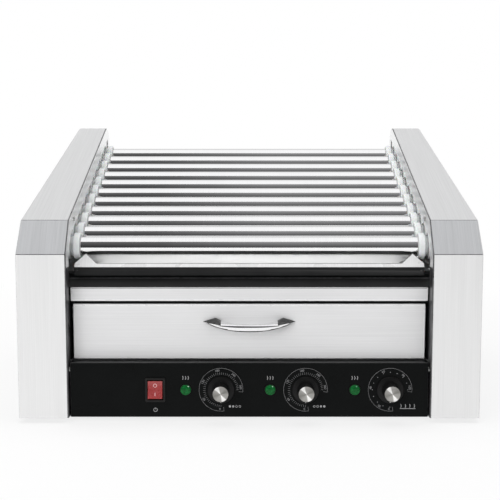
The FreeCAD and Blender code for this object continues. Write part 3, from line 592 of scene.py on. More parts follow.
def dripTray():
    bm = cadCopy("drip_tray")
    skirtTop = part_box("drip_tray")[0].z + traySet["skirtTop"]
    lip = leaning(bm, *traySet["lip"])
    # The skirt's near-black colour is a painted dark reflection; its gloss is real
    for face in bm.faces:
        if face.normal.y < traySet["skirtFacing"] and face.calc_center_median().z < skirtTop:
            face.material_index = trayLooks.index("skirtPaintedDarkReflection")
    # The pan floor is painted dark as painted shade
    for face in leaning(bm, *traySet["floor"]):
        face.material_index = trayLooks.index("trayShade")
    border = bmesh.ops.inset_region(
        bm, faces=lip, thickness=traySet["lipBorder"], use_even_offset=True)["faces"]
    for face in lip + border:
        face.material_index = trayLooks.index("trayLip")
    # Borders along the lip's top edge and rising ear edges take a painted shade line
    for face in border:
        heart = face.calc_center_median()
        rim = max(face.edges, key=lambda edge: sum(len(part.edges) > 4 for part in edge.link_faces))
        along = (rim.verts[1].co - rim.verts[0].co).normalized()
        if abs(along.x) > traySet["level"]:
            lined = heart.z > skirtTop + traySet["lineLift"]
        else:
            lined = along.z * along.x * (-1 if heart.x < 0 else 1) > traySet["rising"]
        if lined:
            face.material_index = trayLooks.index("paintedShadeLine")
    newPiece("trayPan", bm, trayLooks, "tray", ["drip_tray"], traySet["sharp"])


def trayLiner():
    bm = cadCopy("drip_tray")
    floor = leaning(bm, *traySet["floor"])
    dropFaces(bm, [face for face in bm.faces if face not in floor])
    keepBeyond(bm, (0, coverLow.y + traySet["linerFront"], 0), yAxis)
    up = bm.faces[:][0].normal.copy()
    bmesh.ops.translate(bm, verts=bm.verts, vec=up * traySet["liner"])
    newPiece("trayLiner", bm, ("traySteel",), "tray", sheet=traySet["liner"])


dripTray()
trayLiner()


# Black apron under the tray, with a painted highlight line along its upper fold
apronSet = dict(line=0.0026, slope=(-0.75, -0.2, 0.5), sharp=20)
apronLooks = ("blackEnamel", "apronBlack", "paintedEdgeHighlight")


def frontApron():
    bm = cadCopy("front_apron")
    slope = leaning(bm, *apronSet["slope"])
    lineFrom = max(vert.co.y for face in slope for vert in face.verts) - apronSet["line"]
    cutFaces(bm, slope, (0, lineFrom, 0), yAxis)
    # The back strip of the slope takes the painted highlight line
    for face in leaning(bm, *apronSet["slope"]):
        far = face.calc_center_median().y > lineFrom
        face.material_index = apronLooks.index("paintedEdgeHighlight" if far else "apronBlack")
    newPiece("apronSheet", bm, apronLooks, "housing", ["front_apron"], apronSet["sharp"])


frontApron()


# Drawer handle: round sections swept along a bow, thinned to a point at each end
handleSet = dict(
    halfLength=0.0588, reach=0.028, bar=0.0075, height=0.0094, gapHalf=0.0365, belowTop=0.0225, droop=9.6,
    stations=72, around=32, fullness=0.72, tip=0.995, footPeak=0.0425, footRise=0.0052, footFacing=0.3,
    underFacing=-0.43, bowPower=2.5, tallPower=3.2, sharp=50)


def bowReach(half, reach, x):
    radius = (half * half + reach * reach) / (2 * reach)
    return math.sqrt(max(radius * radius - x * x, 0)) - (radius - reach)


# How far the foot's top stands above the bar near the drawer's face
def footLift(x):
    half, peak, gap = pick(handleSet, "halfLength footPeak gapHalf")
    across = abs(x)
    if across > peak:
        return handleSet["footRise"] * (half - across) / (half - peak)
    return handleSet["footRise"] * max(0.0, (across - gap) / (peak - gap))


def fuller(part):
    return math.copysign(abs(part) ** handleSet["fullness"], part)


def drawerHandle():
    faceLow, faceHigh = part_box("drawer_front")
    half, reach, gap = pick(handleSet, "halfLength reach gapHalf")
    bm = bmesh.new()
    loops = []
    for station in range(handleSet["stations"] + 1):
        turn = math.pi * (station / handleSet["stations"] - 0.5)
        x = half * handleSet["tip"] * math.sin(turn)
        outer = reach * (1 - abs(x / half) ** handleSet["bowPower"])
        inner = bowReach(gap, reach - handleSet["bar"], x) if abs(x) < gap else 0.0
        tall = handleSet["height"] * (1 - abs(x / half) ** handleSet["tallPower"])
        ring = bmesh.ops.create_circle(bm, segments=handleSet["around"], radius=1.0)["verts"]
        for vert in ring:
            across, up = fuller(vert.co.x), fuller(vert.co.y)
            lift = max(up, 0) * (1 + across) / 2 * footLift(x)
            vert.co = (x, -(outer + inner) / 2 + across * (outer - inner) / 2, up * tall / 2 + lift)
        loops.append({edge for vert in ring for edge in vert.link_edges})
    for before, after in zip(loops, loops[1:]):
        bmesh.ops.bridge_loops(bm, edges=list(before | after))
    bmesh.ops.holes_fill(bm, edges=[edge for edge in bm.edges if edge.is_boundary], sides=0)
    droop = Matrix.Rotation(math.radians(handleSet["droop"]), 3, "X")
    bmesh.ops.rotate(bm, verts=bm.verts, cent=(0, 0, 0), matrix=droop)
    bmesh.ops.translate(bm, verts=bm.verts, vec=(0, faceLow.y, faceHigh.z - handleSet["belowTop"]))
    for vert in bm.verts:
        vert.co.y = min(vert.co.y, faceLow.y)
    cleanShell(bm)
    # The foot tops and the underside take a painted dark reflection
    for face in bm.faces:
        foot = abs(face.calc_center_median().x) > gap and face.normal.z > handleSet["footFacing"]
        if foot or face.normal.z < handleSet["underFacing"]:
            face.material_index = 1
    newPiece(
        "pullHandle", bm, ("handleChrome", "handlePaintedDarkReflection"), "drawer", ["drawer_handle"],
        handleSet["sharp"])


drawerHandle()
print("tray and handle made")


# Knobs: a skirt and a fluted grip, with a pointer on the skirt and a spun cap in front
knobSet = dict(
    standOff=0.001, skirtRadius=0.0175, skirtTaper=0.001, skirtLength=0.002, rearRadius=0.011,
    frontRadius=0.0104, steps=96, fluteEvery=3, fluteDepth=0.0005, fluteFrom=0.0100, fluteTo=0.0115,
    crease=50, rimEdge=0.0016, rimRound=0.0007 / 3, sharp=40, pointerAt=0.0155, pointerRadius=0.0008,
    pointerTip=0.8, pointerRise=0.0006, pointerSides=24)
capSet = dict(
    radius=0.0098, slack=0.0001, shoulder=0.0003, ringAt=0.0086, ringDepth=0.00025, ringWide=0.0004,
    ringFloor=0.0002, ringRun=0.0006, near=0.00001, steps=72, sharp=60)


def knobGrip(name, centre):
    back = panelLow.y - knobSet["standOff"]
    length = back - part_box(name + "_knob")[0].y
    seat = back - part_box(name + "_knob_cap")[1].y
    skirt, thick = knobSet["skirtRadius"], knobSet["skirtLength"]
    profile = [
        (0, 0.0), (0, skirt), (thick, skirt - knobSet["skirtTaper"]), (thick, knobSet["rearRadius"]),
        (length, knobSet["frontRadius"]), (length, capSet["radius"]), (seat, capSet["radius"]), (seat, 0.0)]
    bm = bmesh.new()
    spinProfile(bm, profile, Vector((centre.x, back, centre.z)), -yAxis, zAxis, knobSet["steps"])
    cleanShell(bm)
    step = fullTurn / knobSet["steps"]
    for vert in bm.verts:
        out = Vector((vert.co.x - centre.x, 0, vert.co.z - centre.z))
        onGrip = vert.co.y < back - thick / 2 and knobSet["fluteFrom"] < out.length < knobSet["fluteTo"]
        if onGrip and round(math.atan2(out.z, out.x) / step) % knobSet["fluteEvery"] == 0:
            vert.co -= out.normalized() * knobSet["fluteDepth"]
    rims = [edge for edge in sharpEdges(bm, knobSet["crease"]) if edge.calc_length() < knobSet["rimEdge"]]
    roundEdges(bm, rims, knobSet["rimRound"], 2)
    newPiece(
        name + "Grip", bm, ("knobPlastic",), name + "_dial", [name + "_knob"],
        knobSet["sharp"])
    bm = bmesh.new()
    radius = knobSet["pointerRadius"]
    dot = bmesh.ops.create_cone(
        bm, cap_ends=True, segments=knobSet["pointerSides"], radius1=radius,
        radius2=radius * knobSet["pointerTip"], depth=knobSet["pointerRise"])["verts"]
    spot = Vector((centre.x, back - thick, centre.z - knobSet["pointerAt"]))
    bmesh.ops.transform(bm, matrix=Matrix.Translation(spot) @ uprightTurn, verts=dot)
    newPiece(name + "Pointer", bm, ("markWhite",), name + "_dial")


def knobCap(name, centre):
    low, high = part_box(name + "_knob_cap")
    slack, ring = capSet["slack"], capSet["ringAt"]
    thick = high.y - low.y
    edge, face, floor = capSet["radius"] - slack, thick - slack, thick - capSet["ringDepth"]
    profile = [
        (0, 0.0), (0, edge), (thick - capSet["shoulder"], edge), (face, edge - capSet["shoulder"]),
        (face, ring + capSet["ringWide"]), (floor, ring), (floor, ring - capSet["ringFloor"]),
        (face, ring - capSet["ringRun"]), (thick, 0.0)]
    bm = bmesh.new()
    spinProfile(bm, profile, Vector((centre.x, high.y, centre.z)), -yAxis, zAxis, capSet["steps"])
    cleanShell(bm)
    wrap = bm.loops.layers.uv.new("spun")
    for face in bm.faces:
        heart = face.calc_center_median()
        base = math.atan2(heart.z - centre.z, heart.x - centre.x)
        for loop in face.loops:
            spot = loop.vert.co - centre
            reach = math.hypot(spot.x, spot.z)
            angle = base if reach < capSet["near"] else math.atan2(spot.z, spot.x)
            angle += fullTurn * round((base - angle) / fullTurn)
            loop[wrap].uv = (angle / fullTurn, reach / capSet["radius"])
    newPiece(
        name + "Cap", bm, ("capSpunPaintedFans",), name + "_dial", [name + "_knob_cap"], capSet["sharp"])


# The cap's metal is turned on a lathe: its gloss runs round the centre, and its fans are painted highlight
# and painted shade in the colour
paintedFanSet = dict(
    dark=(0.22, 0.215, 0.20, 1.0), middle=(0.38, 0.37, 0.35, 1.0), light=(1.0, 0.99, 0.97, 1.0),
    stops=((0.00, "middle"), (0.06, "dark"), (0.20, "middle"), (0.27, "middle"), (0.31, "light"),
           (0.37, "light"), (0.41, "middle"), (0.55, "dark"), (0.66, "middle"), (0.76, "middle"),
           (0.80, "light"), (0.86, "light"), (0.90, "middle"), (1.00, "middle")))


def spunFinishPaintedFans():
    tree = finish["capSpunPaintedFans"].node_tree
    shader = tree.nodes["Principled BSDF"]
    tangent = addNode(tree, "Tangent", direction_type="UV_MAP", uv_map="spun")
    join(tangent, "Tangent", shader, "Tangent")
    wrap = addNode(tree, "UVMap", uv_map="spun")
    split = addNode(tree, "SeparateXYZ")
    turn = addNode(tree, "Math", operation="FRACT")
    fan = addNode(tree, "ValToRGB")
    # Painted highlight and painted shade in fans round the cap
    setRamp(fan, [(spot, paintedFanSet[shade]) for spot, shade in paintedFanSet["stops"]])
    join(wrap, "UV", split, "Vector")
    join(split, "X", turn, 0)
    join(turn, "Value", fan, "Fac")
    grey = shader.inputs["Base Color"].links[0].from_socket
    tree.links.new(multiplied(tree, fan.outputs["Color"], grey), shader.inputs["Base Color"])


spunFinishPaintedFans()
for name, centre in zip(dialNames, dialCentres):
    knobGrip(name, centre)
    knobCap(name, centre)
print("knobs made")


# Lamps: a green domed lens inside a dark rim
lampSet = dict(
    rimRadius=0.0070, rimRise=0.0010, rimShare=0.6, rimRound=0.0001, lensRadius=0.00665, lensRise=0.0036,
    steps=48, lensSteps=9, backStep=0.0004, sharp=50)
lampLow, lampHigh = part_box("indicator_lamps")
lampPitch = (lampHigh.x - lampLow.x - 2 * lampSet["rimRadius"]) / 2
lampSpots = [lampLow.x + lampSet["rimRadius"] + number * lampPitch for number in range(3)]


def lampPieces():
    back, rise, rim, lensRadius = pick(lampSet, "backStep rimRise rimRadius lensRadius")
    rimProfile = [
        (-back, rim), (rise * lampSet["rimShare"], rim), (rise, rim - lampSet["rimRound"]),
        (rise, lensRadius), (-back, lensRadius)]
    dome = [(0, 0.0), (0, lensRadius)]
    for step in range(lampSet["lensSteps"] + 1):
        turn = math.pi / 2 * step / lampSet["lensSteps"]
        dome.append((rise + (lampSet["lensRise"] - rise) * math.sin(turn), lensRadius * math.cos(turn)))
    lens, rims = bmesh.new(), bmesh.new()
    for x in lampSpots:
        centre = Vector((x, panelLow.y, controlZ))
        spinProfile(rims, rimProfile, centre, -yAxis, zAxis, lampSet["steps"])
        spinProfile(lens, dome, centre, -yAxis, zAxis, lampSet["steps"])
    cleanShell(rims)
    cleanShell(lens)
    newPiece(
        "lampLenses", lens, ("lensGreen",), "housing", ["indicator_lamps"], lampSet["sharp"])
    newPiece("lampRims", rims, ("switchPlastic",), "housing")


lampPieces()


# Ink drawn flat in a plane: local x and y lie in it and local z stands out of it
inkSet = dict(rise=0.00012, sink=0.00006, dotSides=20, curveSteps=4, closed=0.001)
inkThick = inkSet["rise"] + inkSet["sink"]
inkMiddle = (inkSet["rise"] - inkSet["sink"]) / 2


def inkArc(bm, centre, radius, start, sweep, width, steps):
    inner, outer = radius - width / 2, radius + width / 2
    corners = (
        (inner, -inkSet["sink"]), (outer, -inkSet["sink"]), (outer, inkSet["rise"]), (inner, inkSet["rise"]))
    middle = Vector((*centre, 0))
    face = bm.faces.new([bm.verts.new(middle + Vector((out, 0, up))) for out, up in corners])
    bmesh.ops.rotate(bm, verts=face.verts, cent=middle, matrix=Matrix.Rotation(start, 3, "Z"))
    bmesh.ops.spin(
        bm, geom=[face] + list(face.edges) + list(face.verts), cent=middle, axis=zAxis, dvec=(0, 0, 0),
        angle=sweep, steps=steps, use_merge=abs(abs(sweep) - fullTurn) < inkSet["closed"])


def inkBar(bm, start, end, width):
    run = Vector(end) - Vector(start)
    centre = Vector((*(Vector(start) + Vector(end)) / 2, inkMiddle))
    verts = bmesh.ops.create_cube(bm, size=1.0)["verts"]
    size = Matrix.Diagonal((run.length, width, inkThick, 1.0))
    turn = Matrix.Rotation(math.atan2(run.y, run.x), 4, "Z")
    bmesh.ops.transform(bm, matrix=Matrix.Translation(centre) @ turn @ size, verts=verts)


def inkDot(bm, centre, radius):
    verts = bmesh.ops.create_cone(
        bm, cap_ends=True, segments=inkSet["dotSides"], radius1=radius, radius2=radius,
        depth=inkThick)["verts"]
    bmesh.ops.translate(bm, verts=verts, vec=(*centre, inkMiddle))


def inkNumber(bm, words, centre, size, turn):
    curve = bpy.data.curves.new("inkNumber", "FONT")
    curve.body = words
    curve.size = size
    curve.align_x = "CENTER"
    curve.align_y = "CENTER"
    curve.extrude = inkSet["rise"] / 2
    curve.resolution_u = inkSet["curveSteps"]
    holder = bpy.data.objects.new("inkNumber", curve)
    mesh = bpy.data.meshes.new_from_object(holder)
    mesh.transform(Matrix.Translation((*centre, 0)) @ Matrix.Rotation(turn, 4, "Z"))
    bm.from_mesh(mesh)
    bpy.data.objects.remove(holder)
    bpy.data.curves.remove(curve)
    bpy.data.meshes.remove(mesh)


# Lays what was drawn on the panel's front: local x to the right, local y up
def layOnPanel(bm):
    place = Matrix.Translation((0, panelLow.y, 0)) @ uprightTurn
    bmesh.ops.transform(bm, matrix=place, verts=bm.verts)
    cleanShell(bm)


# Dial scales, by clock angles in degrees from twelve
dialSet = dict(
    arcRadius=0.0276, arcStart=172, arcSweep=284, arcWidth=0.0003, arcSteps=110, endTick=0.0052,
    numberRadius=0.0247, numberSize=0.0040, tickInner=0.0195, tickOuter=0.0224, tickWidth=0.00028,
    tickStart=180, tickSweep=270, tickCount=40, dotCount=12, dotRadius=0.00055)
rollerNumbers = (("0", 183), ("60", 240), ("120", 294), ("180", 349), ("240", 400), ("300", 442))
dialNumbers = dict(
    front=rollerNumbers, back=rollerNumbers,
    warmer=(("0", 183), ("20", 212), ("40", 276), ("60", 339), ("80", 402), ("100", 443)))


def onDial(centre, clock, radius):
    turn = math.radians(clock)
    return centre[0] + radius * math.sin(turn), centre[1] + radius * math.cos(turn)


def dialTick(bm, centre, clock, inner, outer, width):
    inkBar(bm, onDial(centre, clock, inner), onDial(centre, clock, outer), width)


def dialScale(name, middle):
    centre = (middle.x, middle.z)
    radius, width = dialSet["arcRadius"], dialSet["arcWidth"]
    first, sweep = dialSet["arcStart"], dialSet["arcSweep"]
    bm = bmesh.new()
    inkArc(bm, centre, radius, math.radians(90 - first), -math.radians(sweep), width, dialSet["arcSteps"])
    for clock in (first, first + sweep):
        dialTick(bm, centre, clock, radius - dialSet["endTick"], radius, width)
    count = dialSet["dotCount"] if name == "warmer" else dialSet["tickCount"]
    for number in range(count + 1):
        clock = dialSet["tickStart"] + dialSet["tickSweep"] * number / count
        if name == "warmer":
            inkDot(bm, onDial(centre, clock, dialSet["tickOuter"]), dialSet["dotRadius"])
        else:
            dialTick(bm, centre, clock, dialSet["tickInner"], dialSet["tickOuter"], dialSet["tickWidth"])
    for words, clock in dialNumbers[name]:
        spot = onDial(centre, clock, dialSet["numberRadius"])
        inkNumber(bm, words, spot, dialSet["numberSize"], -math.radians(clock))
    layOnPanel(bm)
    newPiece(name + "Scale", bm, ("scaleInk",), "housing")


for name, middle in zip(dialNames, dialCentres):
    dialScale(name, middle)


# Plain signs beside the controls: power, heat over each lamp, and which rollers a knob heats
signSet = dict(
    line=0.0006, powerDrop=0.0258, powerRadius=0.0023, powerGap=50, powerSteps=28, powerFrom=0.0006,
    powerReach=1.25, heatLift=0.0152, heatPitch=0.0034, heatRadius=0.0011, waveRise=1.42, waveLean=0.7,
    waveSteps=8, knobAside=(0.0112, 0.0112, 0.0142), knobDrop=0.0215, dotPitch=(0.0042, 0.0042, 0.0056),
    dotRadius=0.0014, ringShare=0.86, ringLine=0.8, ringSteps=20, waveLift=0.0006, plateDrop=0.0028,
    plateOver=0.0014)


def heatWave(bm, x, z):
    radius = signSet["heatRadius"]
    for number, lean in ((1, 1), (0, -1), (-1, 1)):
        spot = (x + radius * signSet["waveLean"] * lean, z + number * radius * signSet["waveRise"])
        start = math.radians(-45 if lean < 0 else 135)
        inkArc(bm, spot, radius, start, math.radians(90), signSet["line"], signSet["waveSteps"])


def panelSigns():
    line = signSet["line"]
    bm = bmesh.new()
    x, z = middleOf("switch_frame").x, controlZ - signSet["powerDrop"]
    gap, radius = math.radians(signSet["powerGap"]), signSet["powerRadius"]
    inkArc(bm, (x, z), radius, math.pi / 2 + gap / 2, fullTurn - gap, line, signSet["powerSteps"])
    inkBar(bm, (x, z + signSet["powerFrom"]), (x, z + radius * signSet["powerReach"]), line)
    for x in lampSpots:
        for step in (-1, 0, 1):
            heatWave(bm, x + step * signSet["heatPitch"], controlZ + signSet["heatLift"])
    for number, middle in enumerate(dialCentres):
        first = middle.x + signSet["knobAside"][number]
        pitch = signSet["dotPitch"][number]
        z = middle.z - signSet["knobDrop"]
        for step in range(4):
            centre = (first + step * pitch, z)
            if number == 2:
                heatWave(bm, centre[0], z + signSet["waveLift"])
            elif (step < 2) == (number == 0):
                inkDot(bm, centre, signSet["dotRadius"])
            else:
                inkArc(bm, centre, signSet["dotRadius"] * signSet["ringShare"], 0, fullTurn,
                       line * signSet["ringLine"], signSet["ringSteps"])
    z -= signSet["plateDrop"]
    over = signSet["plateOver"]
    inkBar(bm, (first - over, z), (first + 3 * pitch + over, z), line)
    layOnPanel(bm)
    newPiece("panelSigns", bm, ("printInk",), "housing")


panelSigns()
print("panel printed")


# Switch: a bevelled black frame and a red rocker with a ring and a bar on it
switchSet = dict(
    frameRound=0.0006, rockerRound=0.0007, ringRadius=0.0021, ringWidth=0.0007, ringSteps=32,
    barLength=0.0042, barWidth=0.0008, crease=50, near=0.00002, facing=-0.85)


def switchEdges(bm, wanted):
    return [edge for edge in sharpEdges(bm, switchSet["crease"]) if all(map(wanted, edge.verts))]


def switchPieces():
    bm = cadCopy("switch_frame")
    front = switchLow.y
    edges = switchEdges(bm, lambda vert: abs(vert.co.y - front) < switchSet["near"])
    roundEdges(bm, edges, switchSet["frameRound"], 2)
    newPiece(
        "switchFrame", bm, ("switchPlastic",), "housing", ["switch_frame"], even=True)
    bm = cadCopy("switch_rocker")
    facing = sorted(
        (face for face in bm.faces if face.normal.y < switchSet["facing"]),
        key=lambda face: face.calc_center_median().z)
    bar, ring, marks = bmesh.new(), bmesh.new(), bmesh.new()
    half = switchSet["barLength"] / 2
    inkBar(bar, (0, -half), (0, half), switchSet["barWidth"])
    inkArc(
        ring, (0, 0), switchSet["ringRadius"], 0, fullTurn, switchSet["ringWidth"], switchSet["ringSteps"])
    for mark, face in ((bar, facing[0]), (ring, facing[-1])):
        turn = Matrix((xAxis, face.normal.cross(xAxis), face.normal)).transposed().to_4x4()
        place = Matrix.Translation(face.calc_center_median()) @ turn
        bmesh.ops.transform(mark, matrix=place, verts=mark.verts)
        moveInto(marks, mark)
    edges = switchEdges(bm, lambda vert: vert.co.y < panelLow.y)
    roundEdges(bm, edges, switchSet["rockerRound"], 3)
    newPiece("rockerKey", bm, ("rockerRed",), "rocker", ["switch_rocker"], even=True)
    cleanShell(marks)
    newPiece("rockerMarks", marks, ("rockerMark",), "rocker")


switchPieces()
print("switch made")


# Feet: moulded rubber with a narrower sole
footSet = dict(radius=0.014, waist=0.0128, sole=0.012, soleRise=0.0015, collar=0.001, steps=40)


def rubberFeet():
    low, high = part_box("rubber_feet")
    radius, waist = footSet["radius"], footSet["waist"]
    collar = high.z - footSet["collar"]
    profile = [
        (low.z, 0.0), (low.z, footSet["sole"]), (low.z + footSet["soleRise"], waist), (collar, waist),
        (collar, radius), (high.z, radius), (high.z, 0.0)]
    bm = bmesh.new()
    for x in (low.x + radius, high.x - radius):
        for y in (low.y + radius, high.y - radius):
            spinProfile(bm, profile, Vector((x, y, 0)), zAxis, xAxis, footSet["steps"])
    cleanShell(bm)
    newPiece("footPads", bm, ("footRubber",), "housing", ["rubber_feet"])


rubberFeet()


# Screws: pan heads with a cross recess, on the flanges and under the base
screwSet = dict(
    headRadius=0.0034, headRise=0.0017, topRadius=0.0025, slot=0.0009, slotDepth=0.0008, sides=32,
    topFacing=0.99, lyingBelow=0.003)


def screwTop(bm):
    return [face for face in bm.faces if face.normal.z > screwSet["topFacing"]]


def screwHead(bm, spot, facing):
    radius, rise, half = screwSet["headRadius"], screwSet["headRise"], screwSet["slot"] / 2
    made = bmesh.new()
    bmesh.ops.create_cone(
        made, cap_ends=True, segments=screwSet["sides"], radius1=radius, radius2=radius, depth=rise)
    bmesh.ops.translate(made, verts=made.verts, vec=(0, 0, rise / 2))
    rim = [edge for edge in sharpEdges(made, meshSet["crease"]) if all(
        vert.co.z > rise / 2 for vert in edge.verts)]
    roundEdges(made, rim, radius - screwSet["topRadius"], 4)
    for way in (xAxis, yAxis):
        for side in (-1, 1):
            cutFaces(made, screwTop(made), way * side * half, way)
    cross = []
    for face in screwTop(made):
        heart = face.calc_center_median()
        if min(abs(heart.x), abs(heart.y)) < half:
            cross.append(face)
    sunk = bmesh.ops.extrude_face_region(made, geom=cross)["geom"]
    dropFaces(made, [face for face in cross if face.is_valid])
    bmesh.ops.translate(
        made, verts=[item for item in sunk if isinstance(item, bmesh.types.BMVert)],
        vec=(0, 0, -screwSet["slotDepth"]))
    cleanShell(made)
    turn = zAxis.rotation_difference(facing).to_matrix().to_4x4()
    bmesh.ops.transform(made, matrix=Matrix.Translation(spot) @ turn, verts=made.verts)
    moveInto(bm, made)


# The box of each loose screw in the frame
def screwSpots():
    spots = []
    bm = cadCopy("housing_screws")
    seen = set()
    for vert in bm.verts:
        if vert in seen:
            continue
        group, todo = set(), [vert]
        while todo:
            here = todo.pop()
            if here not in group:
                group.add(here)
                todo += [edge.other_vert(here) for edge in here.link_edges]
        seen |= group
        spots.append([
            Vector([end(item.co[axis] for item in group) for axis in range(3)]) for end in (min, max)])
    bm.free()
    return spots


def housingScrews():
    bm = bmesh.new()
    rise = screwSet["headRise"]
    for low, high in screwSpots():
        centre = (low + high) / 2
        if high.z - low.z < screwSet["lyingBelow"]:
            screwHead(bm, Vector((centre.x, centre.y, high.z)), -zAxis)
        elif centre.x > 0:
            screwHead(bm, Vector((low.x + rise, centre.y, centre.z)), -xAxis)
        else:
            screwHead(bm, Vector((high.x - rise, centre.y, centre.z)), xAxis)
    newPiece("panScrews", bm, ("screwZinc",), "housing", ["housing_screws"])


housingScrews()
print("feet and screws made")


# Finishes of the nodes that keep their own shape
nodeFinish = dict(
    base_pan="panEnamel", back_panel="coverSide", left_side_plate="plateMirror",
    right_side_plate="plateMirror", heater_rods="heaterSteel", heater_bracket="innerSteel",
    drive_chain="driveSteel", gear_motor="motorGrey", motor_sprocket="driveSteel", tray_deck="innerSteel",
    bay_ceiling="innerSteel", bay_shelf="innerSteel", warming_element="heaterSteel",
    drawer_box="innerSteel", drawer_runners="innerSteel", thermostats="motorGrey", cord_gland="switchPlastic")
for number in range(rollerCount):
    nodeFinish["sprocket_%02d" % (number + 1)] = "driveSteel"
for node, look in nodeFinish.items():
    for slot in nodes[node].material_slots:
        slot.material = finish[look]
print("plain nodes finished:", len(nodeFinish))


# Stage: a white floor that keeps a faint shadow, and dark flags that only gloss can see
stageSet = dict(
    floorHalf=6.0, floorColour=(0.92, 0.92, 0.92, 1.0), floorRough=0.9, shadowShare=0.28, fadeRadius=1.1,
    fadeFull=0.6, flagLow=(0.035, 0.035, 0.036, 1.0), flagHigh=(0.16, 0.16, 0.163, 1.0), flagHalf=6.0,
    flagDistance=3.0, flagTop=5.3, flagLift=0.002, floorFlagNear=0.75, flagLeft=-0.5, flagRight=0.1,
    flagGain=2.3)


# A flat rectangle between two opposite corners
def stagePlane(name, low, high, material):
    (left, front, bottom), (right, back, top) = low, high
    corners = ((left, front, bottom), (right, front, bottom), (right, back, top), (left, back, top))
    bm = bmesh.new()
    bm.faces.new([bm.verts.new(corner) for corner in corners])
    mesh = bpy.data.meshes.new(name)
    bm.to_mesh(mesh)
    bm.free()
    mesh.materials.append(material)
    plane = bpy.data.objects.new(name, mesh)
    bpy.context.scene.collection.objects.link(plane)
    return plane


def floorFinish():
    material, tree = newMaterial("paleFloor")
    shader = tree.nodes["Principled BSDF"]
    shader.inputs["Base Color"].default_value = stageSet["floorColour"]
    shader.inputs["Roughness"].default_value = stageSet["floorRough"]
    shader.inputs["Specular IOR Level"].default_value = 0.0
    white = addNode(tree, "Emission", {"Strength": 1.0})
    place = addNode(tree, "TexCoord")
    mapping = addNode(tree, "Mapping", {"Scale": triple(1 / stageSet["fadeRadius"])})
    fade = addNode(tree, "TexGradient", gradient_type="SPHERICAL")
    near = addNode(tree, "MapRange", {"From Max": stageSet["fadeFull"], "To Max": stageSet["shadowShare"]})
    mix = addNode(tree, "MixShader")
    join(place, "Object", mapping, "Vector")
    join(mapping, "Vector", fade, "Vector")
    join(fade, "Fac", near, "Value")
    join(near, "Result", mix, 0)
    join(white, "Emission", mix, 1)
    join(shader, "BSDF", mix, 2)
    join(mix, "Shader", tree.nodes["Material Output"], "Surface")
    return material


def flagFinish():
    material, tree = newMaterial("darkFlag")
    place = addNode(tree, "TexCoord")
    split = addNode(tree, "SeparateXYZ")
    rise = addNode(tree, "MapRange", {"From Max": stageSet["flagTop"]})
    tone = addNode(tree, "ValToRGB")
    setRamp(tone, ((0.0, stageSet["flagLow"]), (1.0, stageSet["flagHigh"])))
    gain = addNode(tree, "MapRange", {
        "From Min": stageSet["flagLeft"], "From Max": stageSet["flagRight"], "To Min": 1.0,
        "To Max": stageSet["flagGain"]})
    glow = addNode(tree, "Emission")
    join(place, "Object", split, "Vector")
    join(split, "X", gain, "Value")
    join(gain, "Result", glow, "Strength")
    join(split, "Z", rise, "Value")
    join(rise, "Result", tone, "Fac")
    join(tone, "Color", glow, "Color")
    join(glow, "Emission", tree.nodes["Material Output"], "Surface")
    return material


def buildStage():
    half, wide = stageSet["floorHalf"], stageSet["flagHalf"]
    stagePlane("floor", (-half, -half, 0), (half, half, 0), floorFinish())
    dark = flagFinish()
    near = coverLow.y - stageSet["floorFlagNear"]
    far = coverLow.y - stageSet["flagDistance"]
    lift = stageSet["flagLift"]
    for flag in (
            stagePlane("standingFlag", (-wide, far, 0), (wide, far, stageSet["flagTop"]), dark),
            stagePlane("lyingFlag", (-wide, far, lift), (wide, near, lift), dark)):
        for ray in ("camera", "diffuse", "transmission", "shadow"):
            setattr(flag, "visible_" + ray, False)


buildStage()


# Light: a white room, soft boxes that gloss doesn't see, a card for the tray and a catch light.
# A lamp lights its target alone, or everything but the piece it spares.
lightSet = dict(
    roomFill=0.62, white=(1.0, 1.0, 1.0, 1.0), zenith=(0.98, 0.98, 0.99, 1.0), zenithFrom=0.55,
    zenithFull=0.95, lamps=(
        dict(name="frontBox", place=(-1.4, -3.2, 1.3), aim=(0, 0, 0.15), size=(3.0, 1.6), power=50.0,
             spare="trayLiner"),
        dict(name="topBox", place=(0.0, 0.1, 2.4), aim=(0, 0, 0.15), size=(2.2, 1.8), power=22.0,
             spare="trayLiner"),
        dict(name="trayCard", place=(0.0, -1.2196, 0.3327), aim=(0, -0.1256, 0.1984), size=(1.40, 0.012),
             power=3.5, spread=70.0, target="trayLiner"),
        dict(name="catchLight", place=(1.3, -1.5, 1.7), aim=(0, -0.2, 0.1), size=(0.5, 0.5), power=1500.0,
             glossOnly=True, target="lampLenses")))


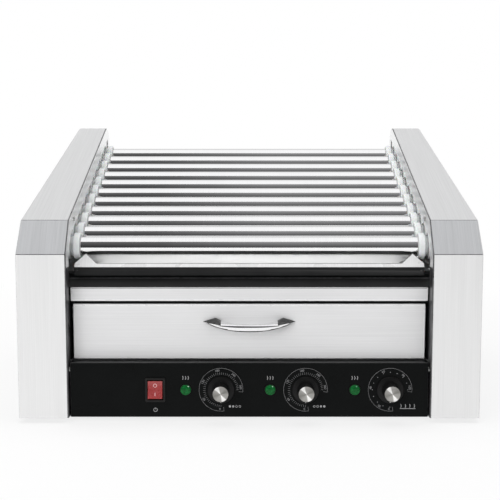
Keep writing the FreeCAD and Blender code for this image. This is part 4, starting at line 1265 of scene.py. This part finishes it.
def softBox(setting):
    light = bpy.data.lights.new(setting["name"], "AREA")
    light.shape = "RECTANGLE"
    light.size, light.size_y = setting["size"]
    light.energy = setting["power"]
    light.spread = math.radians(setting.get("spread", 180))
    lamp = bpy.data.objects.new(setting["name"], light)
    lamp.visible_camera = False
    lamp.visible_glossy = setting.get("glossOnly", False)
    lamp.visible_diffuse = not lamp.visible_glossy
    lamp.location = setting["place"]
    aim = Vector(setting["aim"]) - Vector(setting["place"])
    lamp.rotation_euler = aim.to_track_quat("-Z", "Y").to_euler()
    bpy.context.scene.collection.objects.link(lamp)
    lit = bpy.data.collections.new(setting["name"] + "Targets")
    lit.objects.link(bpy.data.objects[setting.get("target") or setting["spare"]])
    lamp.light_linking.receiver_collection = lit
    if "spare" in setting:
        lit.collection_objects[0].light_linking.link_state = "EXCLUDE"


def whiteRoom():
    world = bpy.data.worlds.new("whiteRoom")
    world.use_nodes = True
    tree = world.node_tree
    sky = tree.nodes["Background"]
    place = addNode(tree, "TexCoord")
    split = addNode(tree, "SeparateXYZ")
    tone = addNode(tree, "ValToRGB")
    setRamp(tone, (
        (lightSet["zenithFrom"], lightSet["white"]), (lightSet["zenithFull"], lightSet["zenith"])))
    join(place, "Generated", split, "Vector")
    join(split, "Z", tone, "Fac")
    join(tone, "Color", sky, "Color")
    path = addNode(tree, "LightPath")
    seen = path.outputs["Is Camera Ray"]
    for ray in ("Is Glossy Ray", "Is Transmission Ray"):
        most = addNode(tree, "Math", operation="MAXIMUM")
        tree.links.new(seen, most.inputs[0])
        join(path, ray, most, 1)
        seen = most.outputs["Value"]
    level = addNode(tree, "MapRange", {"To Min": lightSet["roomFill"], "To Max": 1.0})
    tree.links.new(seen, level.inputs["Value"])
    join(level, "Result", sky, "Strength")
    bpy.context.scene.world = world


whiteRoom()
for setting in lightSet["lamps"]:
    softBox(setting)
print("stage lit")


# Camera: fitted to the photograph's corners, for a square picture
cameraSet = dict(lens=75.6, sensor=36.0, place=(0.0, -1.4924, 0.3682), pitch=6.6, shift=0.0014)


def setCamera():
    data = bpy.data.cameras.new("photoCamera")
    data.lens = cameraSet["lens"]
    data.sensor_width = cameraSet["sensor"]
    data.shift_x = cameraSet["shift"]
    camera = bpy.data.objects.new("photoCamera", data)
    camera.location = cameraSet["place"]
    camera.rotation_euler = (math.radians(90 - cameraSet["pitch"]), 0, 0)
    bpy.context.scene.collection.objects.link(camera)
    bpy.context.scene.camera = camera


setCamera()
bpy.context.scene.view_settings.view_transform = "Standard"
